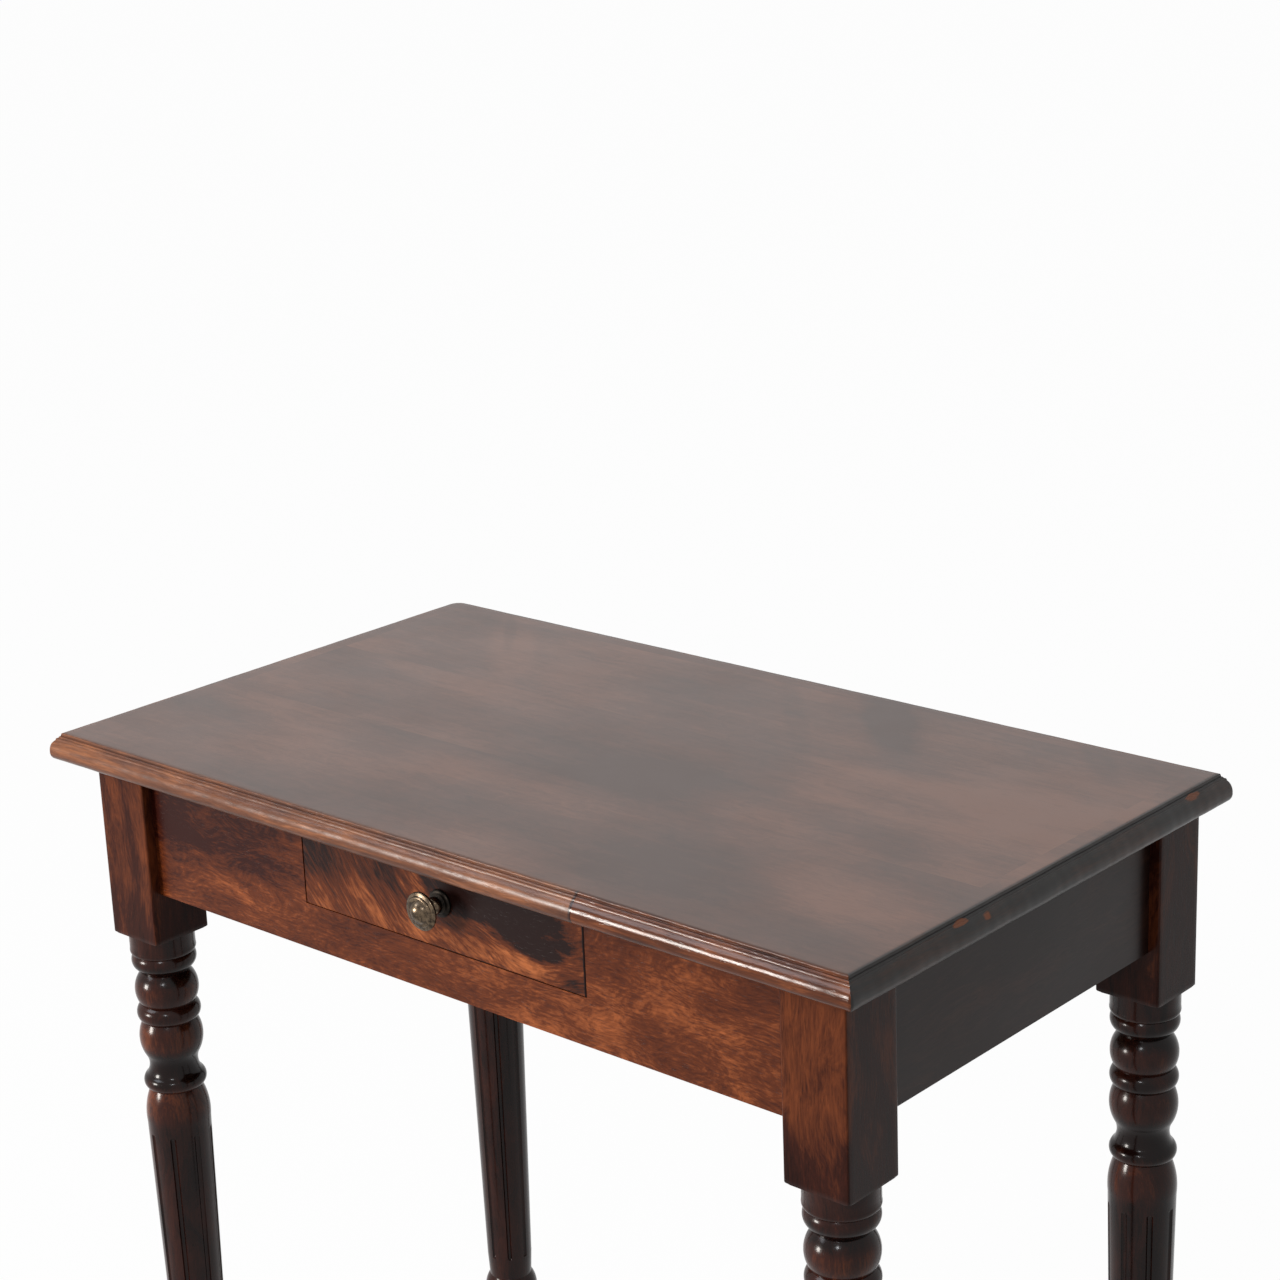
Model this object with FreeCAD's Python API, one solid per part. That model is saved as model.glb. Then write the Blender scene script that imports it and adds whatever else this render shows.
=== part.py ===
import FreeCAD, Part

import math
import os

# A small writing desk. Its flat top is three glued boards inside a mitred edge moulding. Four legs, square
# where the aprons enter them and turned and fluted below, carry four tenoned aprons. One dovetailed drawer
# slides through the front apron on runners, between guides and under kickers, and closes on two stops.
# Lengths are in millimetres. X runs along the width, Y from front to back and Z up. The origin is on the
# floor, below the middle of the top.

Vector = FreeCAD.Vector

# Whole desk
TOP_WIDTH = 800.0
TOP_DEPTH = 460.0
DESK_HEIGHT = 770.0

# The frame stands a little to the right of the top's middle, which is above the origin.
FRAME_SHIFT = 9.5

# Top boards and edge moulding
TOP_THICKNESS = 21.0
BOARD_WIDTH_SHARES = (0.36, 0.31, 0.33)
STRIP_WIDTH = 24.0
ARRIS_INSET = 8.0
QUIRK_DROP = 2.0
NOSE_HEIGHT = 5.0
NOSE_TUCK = 4.0
OVOLO_BULGE_SHARE = 0.72
FRONT_BUTT_PLACE = 164.5
CORNER_EASE = 4.0

# Legs
SIDE_OVERHANG = 28.0
FRONT_OVERHANG = 18.0
BLOCK_WIDTH = 53.5
BLOCK_DROP = 42.0
BLOCK_ARRIS = 1.2
POMMEL_DEPTH = 2.5
HEAD_HEIGHT = 168.0
ANKLE_HEIGHT = 126.0
SHOULDER_RADIUS = 25.9
ANKLE_RADIUS = 20.4
FLUTE_COUNT = 8
FLUTE_DEPTH = 2.0
FLUTE_FLATS = 3
FLUTE_RUN_OUT = 4.0
FLUTE_TOP_SPACE = 8.0
FLUTE_FOOT_SPACE = 19.0

# Everything turned has this many flats around it, of which each flute takes one. An arc in an outline has as
# many flats as keep each one's bend within the step.
TURNING_SIDES = 4 * FLUTE_COUNT
TURNING_STEP_DEGREES = 50.0

# Turned outlines. Two numbers end a straight line and four give a point on an arc and the arc's end, each as
# (down, out). Down is a share of the stretch's height, out one of half the block's width or the ankle radius.
HEAD_SHARES = (
    (0.000, 0.985),
    (0.080, 0.985),
    (0.103, 0.967, 0.111, 0.913),
    (0.143, 0.978, 0.1815, 0.885),
    (0.208, 0.732),
    (0.3125, 0.960, 0.374, 0.822),
    (0.417, 0.966, 0.464, 0.822),
    (0.551, 0.966, 0.637, 0.832),
    (0.695, 0.737, 0.744, 0.832),
    (0.782, 0.951, 0.821, 0.782),
    (0.895, 0.936, 1.000, 0.968),
)
FOOT_SHARES = (
    (0.020, 0.960),
    (0.140, 1.195, 0.262, 0.940),
    (0.300, 0.800),
    (0.440, 1.030, 0.620, 0.900),
    (0.955, 0.640),
    (1.000, 0.600),
)

# Aprons and their joints with the legs
APRON_HEIGHT = 103.0
APRON_THICKNESS = 22.0
APRON_SETBACK = 9.0
TENON_THICKNESS = 8.0
TENON_LENGTH = 26.0
TENON_SHOULDER = 14.0
MORTISE_SPARE = 1.0

# Braces across the corners of the frame
BRACE_REACH = 40.0
BRACE_THICKNESS = 20.0
BRACE_HEIGHT = 60.0
BRACE_LIFT = 15.0
BRACE_SCREW_PLACE = 54.0
BRACE_SCREW_SEAT = 8.0
BRACE_SCREW_LENGTH = 22.0

# Buttons that hold the top to the aprons
BUTTON_LENGTH = 30.0
BUTTON_REACH = 27.0
BUTTON_HEIGHT = 17.0
BUTTON_TONGUE = 8.0
BUTTON_TONGUE_THICKNESS = 7.0
BUTTON_TONGUE_DROP = 9.0
BUTTON_STAND_OFF = 1.5
BUTTON_SLOT_SPARE = 1.0
BUTTON_SCREW_LENGTH = 29.0
LONG_SIDE_BUTTON_PLACE = 230.0
SHORT_SIDE_BUTTON_PLACE = 60.0

# Wood screws
SCREW_SIDES = 6
SCREW_HEAD_RADIUS = 4.0
SCREW_HEAD_HEIGHT = 2.6
SCREW_SHANK_RADIUS = 2.0
SCREW_HEAD_SINK = 0.5

# Drawer opening and drawer
OPENING_WIDTH = 285.0
RAIL_HEIGHT = 36.5
DRAWER_REAR_SPACE = 32.0
DRAWER_SIDE_GAP = 0.8
DRAWER_TOP_GAP = 1.0
RUNNING_GAP = 0.3
DRAWER_FRONT_THICKNESS = 20.0
DRAWER_FRONT_ARRIS = 0.6
DRAWER_SIDE_THICKNESS = 10.0
DRAWER_BACK_THICKNESS = 10.0
DRAWER_BOTTOM_THICKNESS = 6.0
GROOVE_DEPTH = 5.0
LAP_THICKNESS = 5.0
FRONT_TAIL_COUNT = 3
BACK_TAIL_COUNT = 2
TAIL_WIDTH_SHARE = 0.7
TAIL_SLOPE_SHARE = 0.16
BOTTOM_SCREW_PLACE = 70.0
BOTTOM_SCREW_LENGTH = 20.0

# Drawer carriage
RUNNER_HEIGHT = 22.0
RUNNER_LEDGE = 8.0
RUNNER_TENON_LENGTH = 8.0
RUNNER_TENON_SHOULDER = 5.0
GUIDE_WIDTH = 16.0
GUIDE_HEIGHT = 20.0
KICKER_THICKNESS = 12.0
KICKER_WIDTH = 24.0
KICKER_GAP = 1.0
KICKER_SCREW_INSET = 60.0
KICKER_SCREW_LENGTH = 24.0
STOP_LENGTH = 18.0
STOP_HEIGHT = 16.0

# Knob
KNOB_RADIUS = 14.5
KNOB_REACH = 27.0
KNOB_PLACE = 3.5
KNOB_LIFT = 3.0
ROSETTE_RADIUS = 10.5
ROSETTE_THICKNESS = 4.0
KNOB_SHANK_RADIUS = 2.5
KNOB_SHANK_SIDES = 12
KNOB_SHANK_TAIL = 2.0
KNOB_NUT_WIDTH = 10.0
KNOB_NUT_THICKNESS = 4.0

# The knob's outline, as the legs' are: along is a share of its reach past the rosette, out one of its radius.
KNOB_SHARES = (
    (0.000, 0.400),
    (0.120, 0.460, 0.240, 0.380),
    (0.380, 0.300, 0.520, 0.460),
    (0.590, 0.860),
    (0.640, 1.000, 0.720, 0.900),
    (0.735, 0.820),
    (0.780, 0.780, 0.800, 0.700),
    (0.805, 0.600),
    (0.940, 0.360, 1.000, 0.080),
)
ROSETTE_SHARES = (
    (0.000, 1.000),
    (0.350, 1.000),
    (0.600, 0.900, 0.700, 0.720),
    (1.000, 0.560),
)

# One overrun for every cutting solid
OVERRUN = 5.0

# Places that follow from the sizes
FRAME_X = TOP_WIDTH / 2 - SIDE_OVERHANG
FRAME_Y = TOP_DEPTH / 2 - FRONT_OVERHANG
UNDERSIDE = DESK_HEIGHT - TOP_THICKNESS
APRON_FOOT = UNDERSIDE - APRON_HEIGHT
BLOCK_FOOT = APRON_FOOT - BLOCK_DROP
LEG_INNER_X = FRAME_X - BLOCK_WIDTH
LEG_INNER_Y = FRAME_Y - BLOCK_WIDTH
APRON_OUTER_X = FRAME_X - APRON_SETBACK
APRON_OUTER_Y = FRAME_Y - APRON_SETBACK
APRON_INNER_X = APRON_OUTER_X - APRON_THICKNESS
APRON_INNER_Y = APRON_OUTER_Y - APRON_THICKNESS
TENON_INSET = (APRON_THICKNESS - TENON_THICKNESS) / 2
PANEL_X = TOP_WIDTH / 2 - STRIP_WIDTH
PANEL_Y = TOP_DEPTH / 2 - STRIP_WIDTH
OPENING_X = OPENING_WIDTH / 2
OPENING_FLOOR = APRON_FOOT + RAIL_HEIGHT
DRAWER_X = OPENING_X - DRAWER_SIDE_GAP
DRAWER_INNER_X = DRAWER_X - DRAWER_SIDE_THICKNESS
DRAWER_FLOOR = OPENING_FLOOR + RUNNING_GAP
DRAWER_FRONT_TOP = UNDERSIDE - DRAWER_TOP_GAP
DRAWER_SIDE_TOP = UNDERSIDE - KICKER_THICKNESS - KICKER_GAP
DRAWER_FACE_Y = -APRON_OUTER_Y
DRAWER_INNER_Y = DRAWER_FACE_Y + DRAWER_FRONT_THICKNESS
DRAWER_REAR_Y = APRON_INNER_Y - DRAWER_REAR_SPACE
DRAWER_BACK_Y = DRAWER_REAR_Y - DRAWER_BACK_THICKNESS
FRONT_TAIL_PITCH = (DRAWER_SIDE_TOP - DRAWER_FLOOR) / FRONT_TAIL_COUNT
BOTTOM_FOOT = DRAWER_FLOOR + (FRONT_TAIL_PITCH - DRAWER_BOTTOM_THICKNESS) / 2
BOTTOM_TOP = BOTTOM_FOOT + DRAWER_BOTTOM_THICKNESS
BACK_TAIL_PITCH = (DRAWER_SIDE_TOP - BOTTOM_TOP) / BACK_TAIL_COUNT
KNOB_Z = (DRAWER_FLOOR + DRAWER_FRONT_TOP) / 2 + KNOB_LIFT

UP = Vector(0, 0, 1)
ALONG_X = Vector(1, 0, 0)
ALONG_Y = Vector(0, 1, 0)


def box(low_x, low_y, low_z, high_x, high_y, high_z):
    """A block between two opposite corners."""
    return Part.makeBox(high_x - low_x, high_y - low_y, high_z - low_z, Vector(low_x, low_y, low_z))


def prism(points, thickness):
    """A solid from a closed outline of points, drawn out by the thickness vector."""
    return Part.Face(Part.makePolygon(points + points[:1])).extrude(thickness)


def mirrored(shape, normal):
    """The shape's twin on the other side of the plane through the origin."""
    return shape.mirror(Vector(), normal)


def outline(shares, height, radius):
    """Points (out, along) of a turned outline, its arcs broken into flats."""

    def place(along_share, out_share):
        return Vector(out_share * radius, along_share * height, 0)

    points = [place(*shares[0])]
    for stroke in shares[1:]:
        end = place(*stroke[-2:])
        if len(stroke) == 2:
            points.append(end)
            continue
        arc = Part.Arc(points[-1], place(*stroke[:2]), end).toShape()
        bend = math.degrees(arc.LastParameter - arc.FirstParameter)
        points += arc.discretize(math.ceil(bend / TURNING_STEP_DEGREES) + 1)[1:]
    return [(point.x, point.y) for point in points]


def skinned(rings):
    """A solid between flat rings of points, each joined to the next corner by corner."""
    faces = [Part.Face(Part.makePolygon(ring + ring[:1])) for ring in (rings[0], rings[-1])]
    for low, high in zip(rings, rings[1:]):
        for corner in range(len(low)):
            before = corner - 1
            corners = [low[before], low[corner], high[corner], high[before], low[before]]
            faces.append(Part.Face(Part.makePolygon(corners)))
    return Part.Solid(Part.Shell(faces))


def turned(points, place, direction, sides=TURNING_SIDES):
    """A many-sided turning from (out, along) points, its axis running from the place in the direction."""
    half_side = 180 / sides
    turns = [FreeCAD.Rotation(UP, half_side * (2 * side + 1)) for side in range(sides)]
    rings = [[turn.multVec(Vector(out, 0, along)) for turn in turns] for out, along in points]
    solid = skinned(rings)
    solid.Placement = FreeCAD.Placement(place, FreeCAD.Rotation(UP, direction))
    return solid


def screw_outline(length):
    """A countersunk wood screw from its head's face to its end."""
    return [(SCREW_HEAD_RADIUS, 0), (SCREW_SHANK_RADIUS, SCREW_HEAD_HEIGHT), (SCREW_SHANK_RADIUS, length)]


def screw(place, direction, length):
    """A countersunk wood screw with its head's face at the place."""
    return turned(screw_outline(length), place, direction, SCREW_SIDES)


def screw_hole(place, direction, length, seat=OVERRUN):
    """The hole that a screw fills, with the open seat behind its sunk head."""
    return turned([(SCREW_HEAD_RADIUS, -seat)] + screw_outline(length), place, direction, SCREW_SIDES)


# Top

def strip_section(start, outward):
    """The edge moulding's section: a flat band, a small step, an ovolo to the nose and a tucked foot."""
    step_top = DESK_HEIGHT - QUIRK_DROP
    nose = UNDERSIDE + NOSE_HEIGHT
    band = STRIP_WIDTH - ARRIS_INSET

    def at(out, height):
        return start + outward * out + UP * height

    ovolo_mid = at(band + ARRIS_INSET * OVOLO_BULGE_SHARE, nose + (step_top - nose) * OVOLO_BULGE_SHARE)
    tuck_mid = at(
        STRIP_WIDTH - NOSE_TUCK * (1 - OVOLO_BULGE_SHARE),
        nose - NOSE_HEIGHT * OVOLO_BULGE_SHARE,
    )
    corners = [
        at(STRIP_WIDTH - NOSE_TUCK, UNDERSIDE),
        at(0, UNDERSIDE),
        at(0, DESK_HEIGHT),
        at(band, DESK_HEIGHT),
        at(band, step_top),
    ]
    edges = Part.makePolygon(corners).Edges
    edges.append(Part.Arc(corners[-1], ovolo_mid, at(STRIP_WIDTH, nose)).toShape())
    edges.append(Part.Arc(at(STRIP_WIDTH, nose), tuck_mid, corners[0]).toShape())
    return Part.Face(Part.Wire(edges))


def edge_strip(start, outward, along, mitre_points):
    """A length of edge moulding, mitred by the plan outline that it is kept within."""
    strip = strip_section(start, outward).extrude(along)
    plan = [point + UP * UNDERSIDE for point in mitre_points]
    return strip.common(prism(plan, UP * TOP_THICKNESS))


def top_boards():
    """Three boards glued edge to edge between the moulding strips."""
    boards = {}
    front = -PANEL_Y
    for place, share in zip(("front", "middle", "back"), BOARD_WIDTH_SHARES):
        back = front + 2 * PANEL_Y * share / sum(BOARD_WIDTH_SHARES)
        boards[f"top_board_{place}"] = box(-PANEL_X, front, UNDERSIDE, PANEL_X, back, DESK_HEIGHT)
        front = back
    return boards


def edge_mouldings():
    """The four sides of the mitred edge, the front one in two lengths with a butt joint."""
    outer_x, outer_y = TOP_WIDTH / 2, TOP_DEPTH / 2
    eased_x, eased_y = outer_x - CORNER_EASE, outer_y - CORNER_EASE
    mitre_x, mitre_y = outer_x - CORNER_EASE / 2, outer_y - CORNER_EASE / 2
    front = edge_strip(
        Vector(-outer_x, -PANEL_Y, 0),
        -ALONG_Y,
        ALONG_X * TOP_WIDTH,
        [
            Vector(-mitre_x, -mitre_y, 0),
            Vector(-eased_x, -outer_y, 0),
            Vector(eased_x, -outer_y, 0),
            Vector(mitre_x, -mitre_y, 0),
            Vector(PANEL_X, -PANEL_Y, 0),
            Vector(-PANEL_X, -PANEL_Y, 0),
        ],
    )
    left = edge_strip(
        Vector(-PANEL_X, -outer_y, 0),
        -ALONG_X,
        ALONG_Y * TOP_DEPTH,
        [
            Vector(-mitre_x, -mitre_y, 0),
            Vector(-PANEL_X, -PANEL_Y, 0),
            Vector(-PANEL_X, PANEL_Y, 0),
            Vector(-mitre_x, mitre_y, 0),
            Vector(-outer_x, eased_y, 0),
            Vector(-outer_x, -eased_y, 0),
        ],
    )
    left_part = box(-outer_x, -outer_y, UNDERSIDE, FRONT_BUTT_PLACE, -PANEL_Y, DESK_HEIGHT)
    right_part = box(FRONT_BUTT_PLACE, -outer_y, UNDERSIDE, outer_x, -PANEL_Y, DESK_HEIGHT)
    return {
        "front_edge_moulding_left": front.common(left_part),
        "front_edge_moulding_right": front.common(right_part),
        "back_edge_moulding": mirrored(front, ALONG_Y),
        "left_edge_moulding": left,
        "right_edge_moulding": mirrored(left, ALONG_X),
    }


# Legs

def leg_block():
    """The front left leg's square head, with eased arrises and a turned shoulder below."""
    block = box(-FRAME_X, -FRAME_Y, BLOCK_FOOT, -LEG_INNER_X, -LEG_INNER_Y, UNDERSIDE)
    upright = [edge for edge in block.Edges if edge.tangentAt(0).cross(UP).Length < math.sin(math.radians(1))]
    block = block.makeFillet(BLOCK_ARRIS, upright)
    corner = BLOCK_WIDTH / math.sqrt(2)
    round_off = [(corner - POMMEL_DEPTH, 0), (corner, POMMEL_DEPTH), (corner, UNDERSIDE - BLOCK_FOOT)]
    return block.common(turned(round_off, leg_axis() + UP * BLOCK_FOOT, UP))


def leg_axis():
    """The foot of the front left leg's axis."""
    return Vector((-FRAME_X - LEG_INNER_X) / 2, (-FRAME_Y - LEG_INNER_Y) / 2, 0)


def taper_radius(height):
    """How thick the leg's straight taper is at a height."""
    taper_top = BLOCK_FOOT - HEAD_HEIGHT
    share = (height - ANKLE_HEIGHT) / (taper_top - ANKLE_HEIGHT)
    return ANKLE_RADIUS + (SHOULDER_RADIUS - ANKLE_RADIUS) * share


def flutes():
    """Round-bottomed grooves along the taper, one flat wide, each running out at both ends."""
    low = ANKLE_HEIGHT + FLUTE_FOOT_SPACE
    high = BLOCK_FOOT - HEAD_HEIGHT - FLUTE_TOP_SPACE
    edge = FreeCAD.Rotation(UP, 180 / TURNING_SIDES)
    start = edge.inverted().multVec(ALONG_X * SHOULDER_RADIUS)
    end = edge.multVec(ALONG_X * SHOULDER_RADIUS)
    groove = Part.Arc(start, ALONG_X * (SHOULDER_RADIUS - FLUTE_DEPTH), end).toShape()
    section = groove.discretize(FLUTE_FLATS + 1) + [end + ALONG_X * OVERRUN, start + ALONG_X * OVERRUN]
    if section[0].distanceToPoint(start) > section[0].distanceToPoint(end):
        section[: FLUTE_FLATS + 1] = section[FLUTE_FLATS::-1]

    def ring(height):
        share = taper_radius(height) / SHOULDER_RADIUS
        return [point * share + UP * height for point in section]

    def on_taper(height, out):
        return Vector(taper_radius(height) + out, -SHOULDER_RADIUS, height)

    run_out = [
        on_taper(low, 0),
        on_taper(low + FLUTE_RUN_OUT, -FLUTE_DEPTH),
        on_taper(high - FLUTE_RUN_OUT, -FLUTE_DEPTH),
        on_taper(high, 0),
        on_taper(high, OVERRUN),
        on_taper(low, OVERRUN),
    ]
    cutter = skinned([ring(low), ring(high)]).common(prism(run_out, ALONG_Y * 2 * SHOULDER_RADIUS))
    cutter.translate(leg_axis())
    cutters = []
    for flute in range(FLUTE_COUNT):
        copy = cutter.copy()
        copy.rotate(leg_axis(), UP, 360 * flute / FLUTE_COUNT)
        cutters.append(copy)
    return cutters


def leg_turning():
    """The turned stretch: beads and balls below the block, a fluted taper, an ankle ring and a foot."""
    head = outline(HEAD_SHARES, HEAD_HEIGHT, BLOCK_WIDTH / 2)
    foot = outline(FOOT_SHARES, ANKLE_HEIGHT, ANKLE_RADIUS)
    points = [(out, BLOCK_FOOT - down) for out, down in head]
    points.append((SHOULDER_RADIUS, BLOCK_FOOT - HEAD_HEIGHT))
    points.append((ANKLE_RADIUS, ANKLE_HEIGHT))
    points += [(out, ANKLE_HEIGHT - down) for out, down in foot]
    return turned(points, leg_axis(), UP).cut(flutes())


def mortise(tenon_box, into):
    """The hollow for a tenon, with a little spare depth past its end."""
    spare = tenon_box.copy()
    spare.translate(into * MORTISE_SPARE)
    return tenon_box.fuse(spare)


def long_tenon():
    """The tenon that the front apron puts into the front left leg."""
    low_y = -APRON_OUTER_Y + TENON_INSET
    return box(
        -LEG_INNER_X - TENON_LENGTH,
        low_y,
        APRON_FOOT + TENON_SHOULDER,
        -LEG_INNER_X,
        low_y + TENON_THICKNESS,
        UNDERSIDE - TENON_SHOULDER,
    )


def short_tenon():
    """The tenon that the left apron puts into the front left leg."""
    low_x = -APRON_OUTER_X + TENON_INSET
    return box(
        low_x,
        -LEG_INNER_Y - TENON_LENGTH,
        APRON_FOOT + TENON_SHOULDER,
        low_x + TENON_THICKNESS,
        -LEG_INNER_Y,
        UNDERSIDE - TENON_SHOULDER,
    )


def legs():
    """Four legs, each the mirror image of its neighbours."""
    mortises = [mortise(long_tenon(), -ALONG_X), mortise(short_tenon(), -ALONG_Y)]
    leg = leg_block().cut(mortises).fuse(leg_turning())
    front_right = mirrored(leg, ALONG_X)
    return {
        "front_left_leg": leg,
        "front_right_leg": front_right,
        "back_left_leg": mirrored(leg, ALONG_Y),
        "back_right_leg": mirrored(front_right, ALONG_Y),
    }


# Carcase

def button_places():
    """Where the buttons lie: a point on the apron's inner face, the way inward and the way along."""
    places = []
    for side in (-1, 1):
        for end in (-1, 1):
            long_side = Vector(end * LONG_SIDE_BUTTON_PLACE, side * APRON_INNER_Y, 0)
            short_side = Vector(side * APRON_INNER_X, end * SHORT_SIDE_BUTTON_PLACE, 0)
            places.append((long_side, ALONG_Y * -side, ALONG_X))
            places.append((short_side, ALONG_X * -side, ALONG_Y))
    return places


def button_block(place, inward, along, start, reach, low, high, spare):
    """A block along an apron's inner face, from start to reach inward of it."""
    half = along * (BUTTON_LENGTH / 2 + spare)
    near = place + inward * start
    far = place + inward * reach
    corners = [point + UP * low for point in (near - half, near + half, far + half, far - half)]
    return prism(corners, UP * (high - low))


def button_slots():
    """The stopped slots in the aprons that take the buttons' tongues."""
    top = UNDERSIDE - BUTTON_TONGUE_DROP
    low = top - BUTTON_TONGUE_THICKNESS - BUTTON_SLOT_SPARE
    depth = -BUTTON_TONGUE - BUTTON_SLOT_SPARE
    return [button_block(*where, depth, 0, low, top, BUTTON_SLOT_SPARE) for where in button_places()]


def button_screw_place(place, inward):
    """The middle of a button's underside, where its screw's head is sunk."""
    middle = (BUTTON_STAND_OFF + BUTTON_REACH) / 2
    return place + inward * middle + UP * (UNDERSIDE - BUTTON_HEIGHT + SCREW_HEAD_SINK)


def buttons():
    """Turn buttons under the top, each with a tongue in its apron's slot."""
    solids = []
    tongue_top = UNDERSIDE - BUTTON_TONGUE_DROP
    for where in button_places():
        block = button_block(
            *where, BUTTON_STAND_OFF, BUTTON_REACH, UNDERSIDE - BUTTON_HEIGHT, UNDERSIDE, 0
        )
        tongue = button_block(
            *where, -BUTTON_TONGUE, BUTTON_REACH, tongue_top - BUTTON_TONGUE_THICKNESS, tongue_top, 0
        )
        hole = screw_hole(button_screw_place(*where[:2]), UP, BUTTON_SCREW_LENGTH)
        solids.append(block.fuse(tongue).cut(hole).removeSplitter())
    return Part.makeCompound(solids)


def button_screws():
    """The screws that hold the buttons to the top."""
    return [screw(button_screw_place(*where[:2]), UP, BUTTON_SCREW_LENGTH) for where in button_places()]


def brace_screws():
    """The front left brace's two screws, one square to each apron."""
    height = APRON_FOOT + BRACE_LIFT + BRACE_HEIGHT / 2
    corner = Vector(-APRON_INNER_X, -APRON_INNER_Y, height)
    into_front = corner + ALONG_X * BRACE_SCREW_PLACE + ALONG_Y * BRACE_SCREW_SEAT
    into_side = corner + ALONG_Y * BRACE_SCREW_PLACE + ALONG_X * BRACE_SCREW_SEAT
    return [(into_front, -ALONG_Y, BRACE_SCREW_LENGTH), (into_side, -ALONG_X, BRACE_SCREW_LENGTH)]


def front_left_brace():
    """A brace across the corner, cut round the leg's inner corner and pocketed for its screws."""
    low = APRON_FOOT + BRACE_LIFT
    corner = Vector(-APRON_INNER_X, -APRON_INNER_Y, low)
    inner_reach = BRACE_REACH + BRACE_THICKNESS * math.sqrt(2)
    plan = [
        corner + ALONG_X * BRACE_REACH,
        corner + ALONG_X * inner_reach,
        corner + ALONG_Y * inner_reach,
        corner + ALONG_Y * BRACE_REACH,
    ]
    leg_room = box(-FRAME_X, -FRAME_Y, APRON_FOOT, -LEG_INNER_X, -LEG_INNER_Y, UNDERSIDE)
    brace = prism(plan, UP * BRACE_HEIGHT).cut(leg_room)
    return brace.cut([screw_hole(*where, BRACE_THICKNESS) for where in brace_screws()])


def in_four_corners(shape):
    """Copies of a front left shape for all four corners, by corner name."""
    right = mirrored(shape, ALONG_X)
    return {
        "front_left": shape,
        "front_right": right,
        "back_left": mirrored(shape, ALONG_Y),
        "back_right": mirrored(right, ALONG_Y),
    }


def runner_body():
    """The left runner without its tenons: a rail level with the opening's floor."""
    inner = -DRAWER_INNER_X + RUNNER_LEDGE
    outer = -OPENING_X - GUIDE_WIDTH
    return box(outer, -APRON_INNER_Y, OPENING_FLOOR - RUNNER_HEIGHT, inner, APRON_INNER_Y, OPENING_FLOOR)


def runner_tenons():
    """The left runner's stub tenons, front and back."""
    inner = -DRAWER_INNER_X + RUNNER_LEDGE - RUNNER_TENON_SHOULDER
    outer = -OPENING_X - GUIDE_WIDTH + RUNNER_TENON_SHOULDER
    low = OPENING_FLOOR - RUNNER_HEIGHT + RUNNER_TENON_SHOULDER
    high = OPENING_FLOOR - RUNNER_TENON_SHOULDER
    front = box(outer, -APRON_INNER_Y - RUNNER_TENON_LENGTH, low, inner, -APRON_INNER_Y, high)
    return [front, mirrored(front, ALONG_Y)]


def carriage():
    """The left side of what carries the drawer: runner, guide, kicker and stop."""
    kicker_low = UNDERSIDE - KICKER_THICKNESS
    kicker_mid = -(DRAWER_X + DRAWER_INNER_X) / 2
    kicker = box(
        kicker_mid - KICKER_WIDTH / 2,
        -APRON_INNER_Y,
        kicker_low,
        kicker_mid + KICKER_WIDTH / 2,
        APRON_INNER_Y,
        UNDERSIDE,
    )
    guide_top = OPENING_FLOOR + GUIDE_HEIGHT
    guide = box(
        -OPENING_X - GUIDE_WIDTH, -APRON_INNER_Y, OPENING_FLOOR, -OPENING_X, APRON_INNER_Y, guide_top
    )
    stop_face = DRAWER_REAR_Y + RUNNING_GAP
    stop = box(
        -OPENING_X,
        stop_face,
        OPENING_FLOOR,
        -DRAWER_INNER_X + RUNNER_LEDGE,
        stop_face + STOP_LENGTH,
        OPENING_FLOOR + STOP_HEIGHT,
    )
    holes = [screw_hole(*where) for where in kicker_screw_places()]
    return {
        "runner": runner_body().fuse(runner_tenons()).removeSplitter(),
        "drawer_guide": guide,
        "kicker": kicker.cut(holes),
        "drawer_stop": stop,
    }


def kicker_screw_places():
    """The left kicker's two screws, driven up into the top."""
    middle = -(DRAWER_X + DRAWER_INNER_X) / 2
    low = UNDERSIDE - KICKER_THICKNESS + SCREW_HEAD_SINK
    inset = APRON_INNER_Y - KICKER_SCREW_INSET
    return [(Vector(middle, y, low), UP, KICKER_SCREW_LENGTH) for y in (-inset, inset)]


def apron_board(half_length, outer, tenon):
    """A long apron at the front, or a short one at the left, with a tenon at each end."""
    if tenon is long_tenon:
        board = box(-half_length, -outer, APRON_FOOT, half_length, -outer + APRON_THICKNESS, UNDERSIDE)
        return board.fuse([tenon(), mirrored(tenon(), ALONG_X)])
    board = box(-outer, -half_length, APRON_FOOT, -outer + APRON_THICKNESS, half_length, UNDERSIDE)
    return board.fuse([tenon(), mirrored(tenon(), ALONG_Y)])


def aprons(cutters):
    """The four aprons: the front one is cut out for the drawer, and all take the frame's joints."""
    long_board = apron_board(LEG_INNER_X, APRON_OUTER_Y, long_tenon)
    short_board = apron_board(LEG_INNER_Y, APRON_OUTER_X, short_tenon)
    opening = box(
        -OPENING_X,
        -APRON_OUTER_Y - OVERRUN,
        OPENING_FLOOR,
        OPENING_X,
        -APRON_INNER_Y + OVERRUN,
        UNDERSIDE + OVERRUN,
    )
    return {
        "front_apron": long_board.cut([opening] + cutters),
        "back_apron": mirrored(long_board, ALONG_Y).cut(cutters),
        "left_apron": short_board.cut(cutters),
        "right_apron": mirrored(short_board, ALONG_X).cut(cutters),
    }


# Drawer

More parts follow.
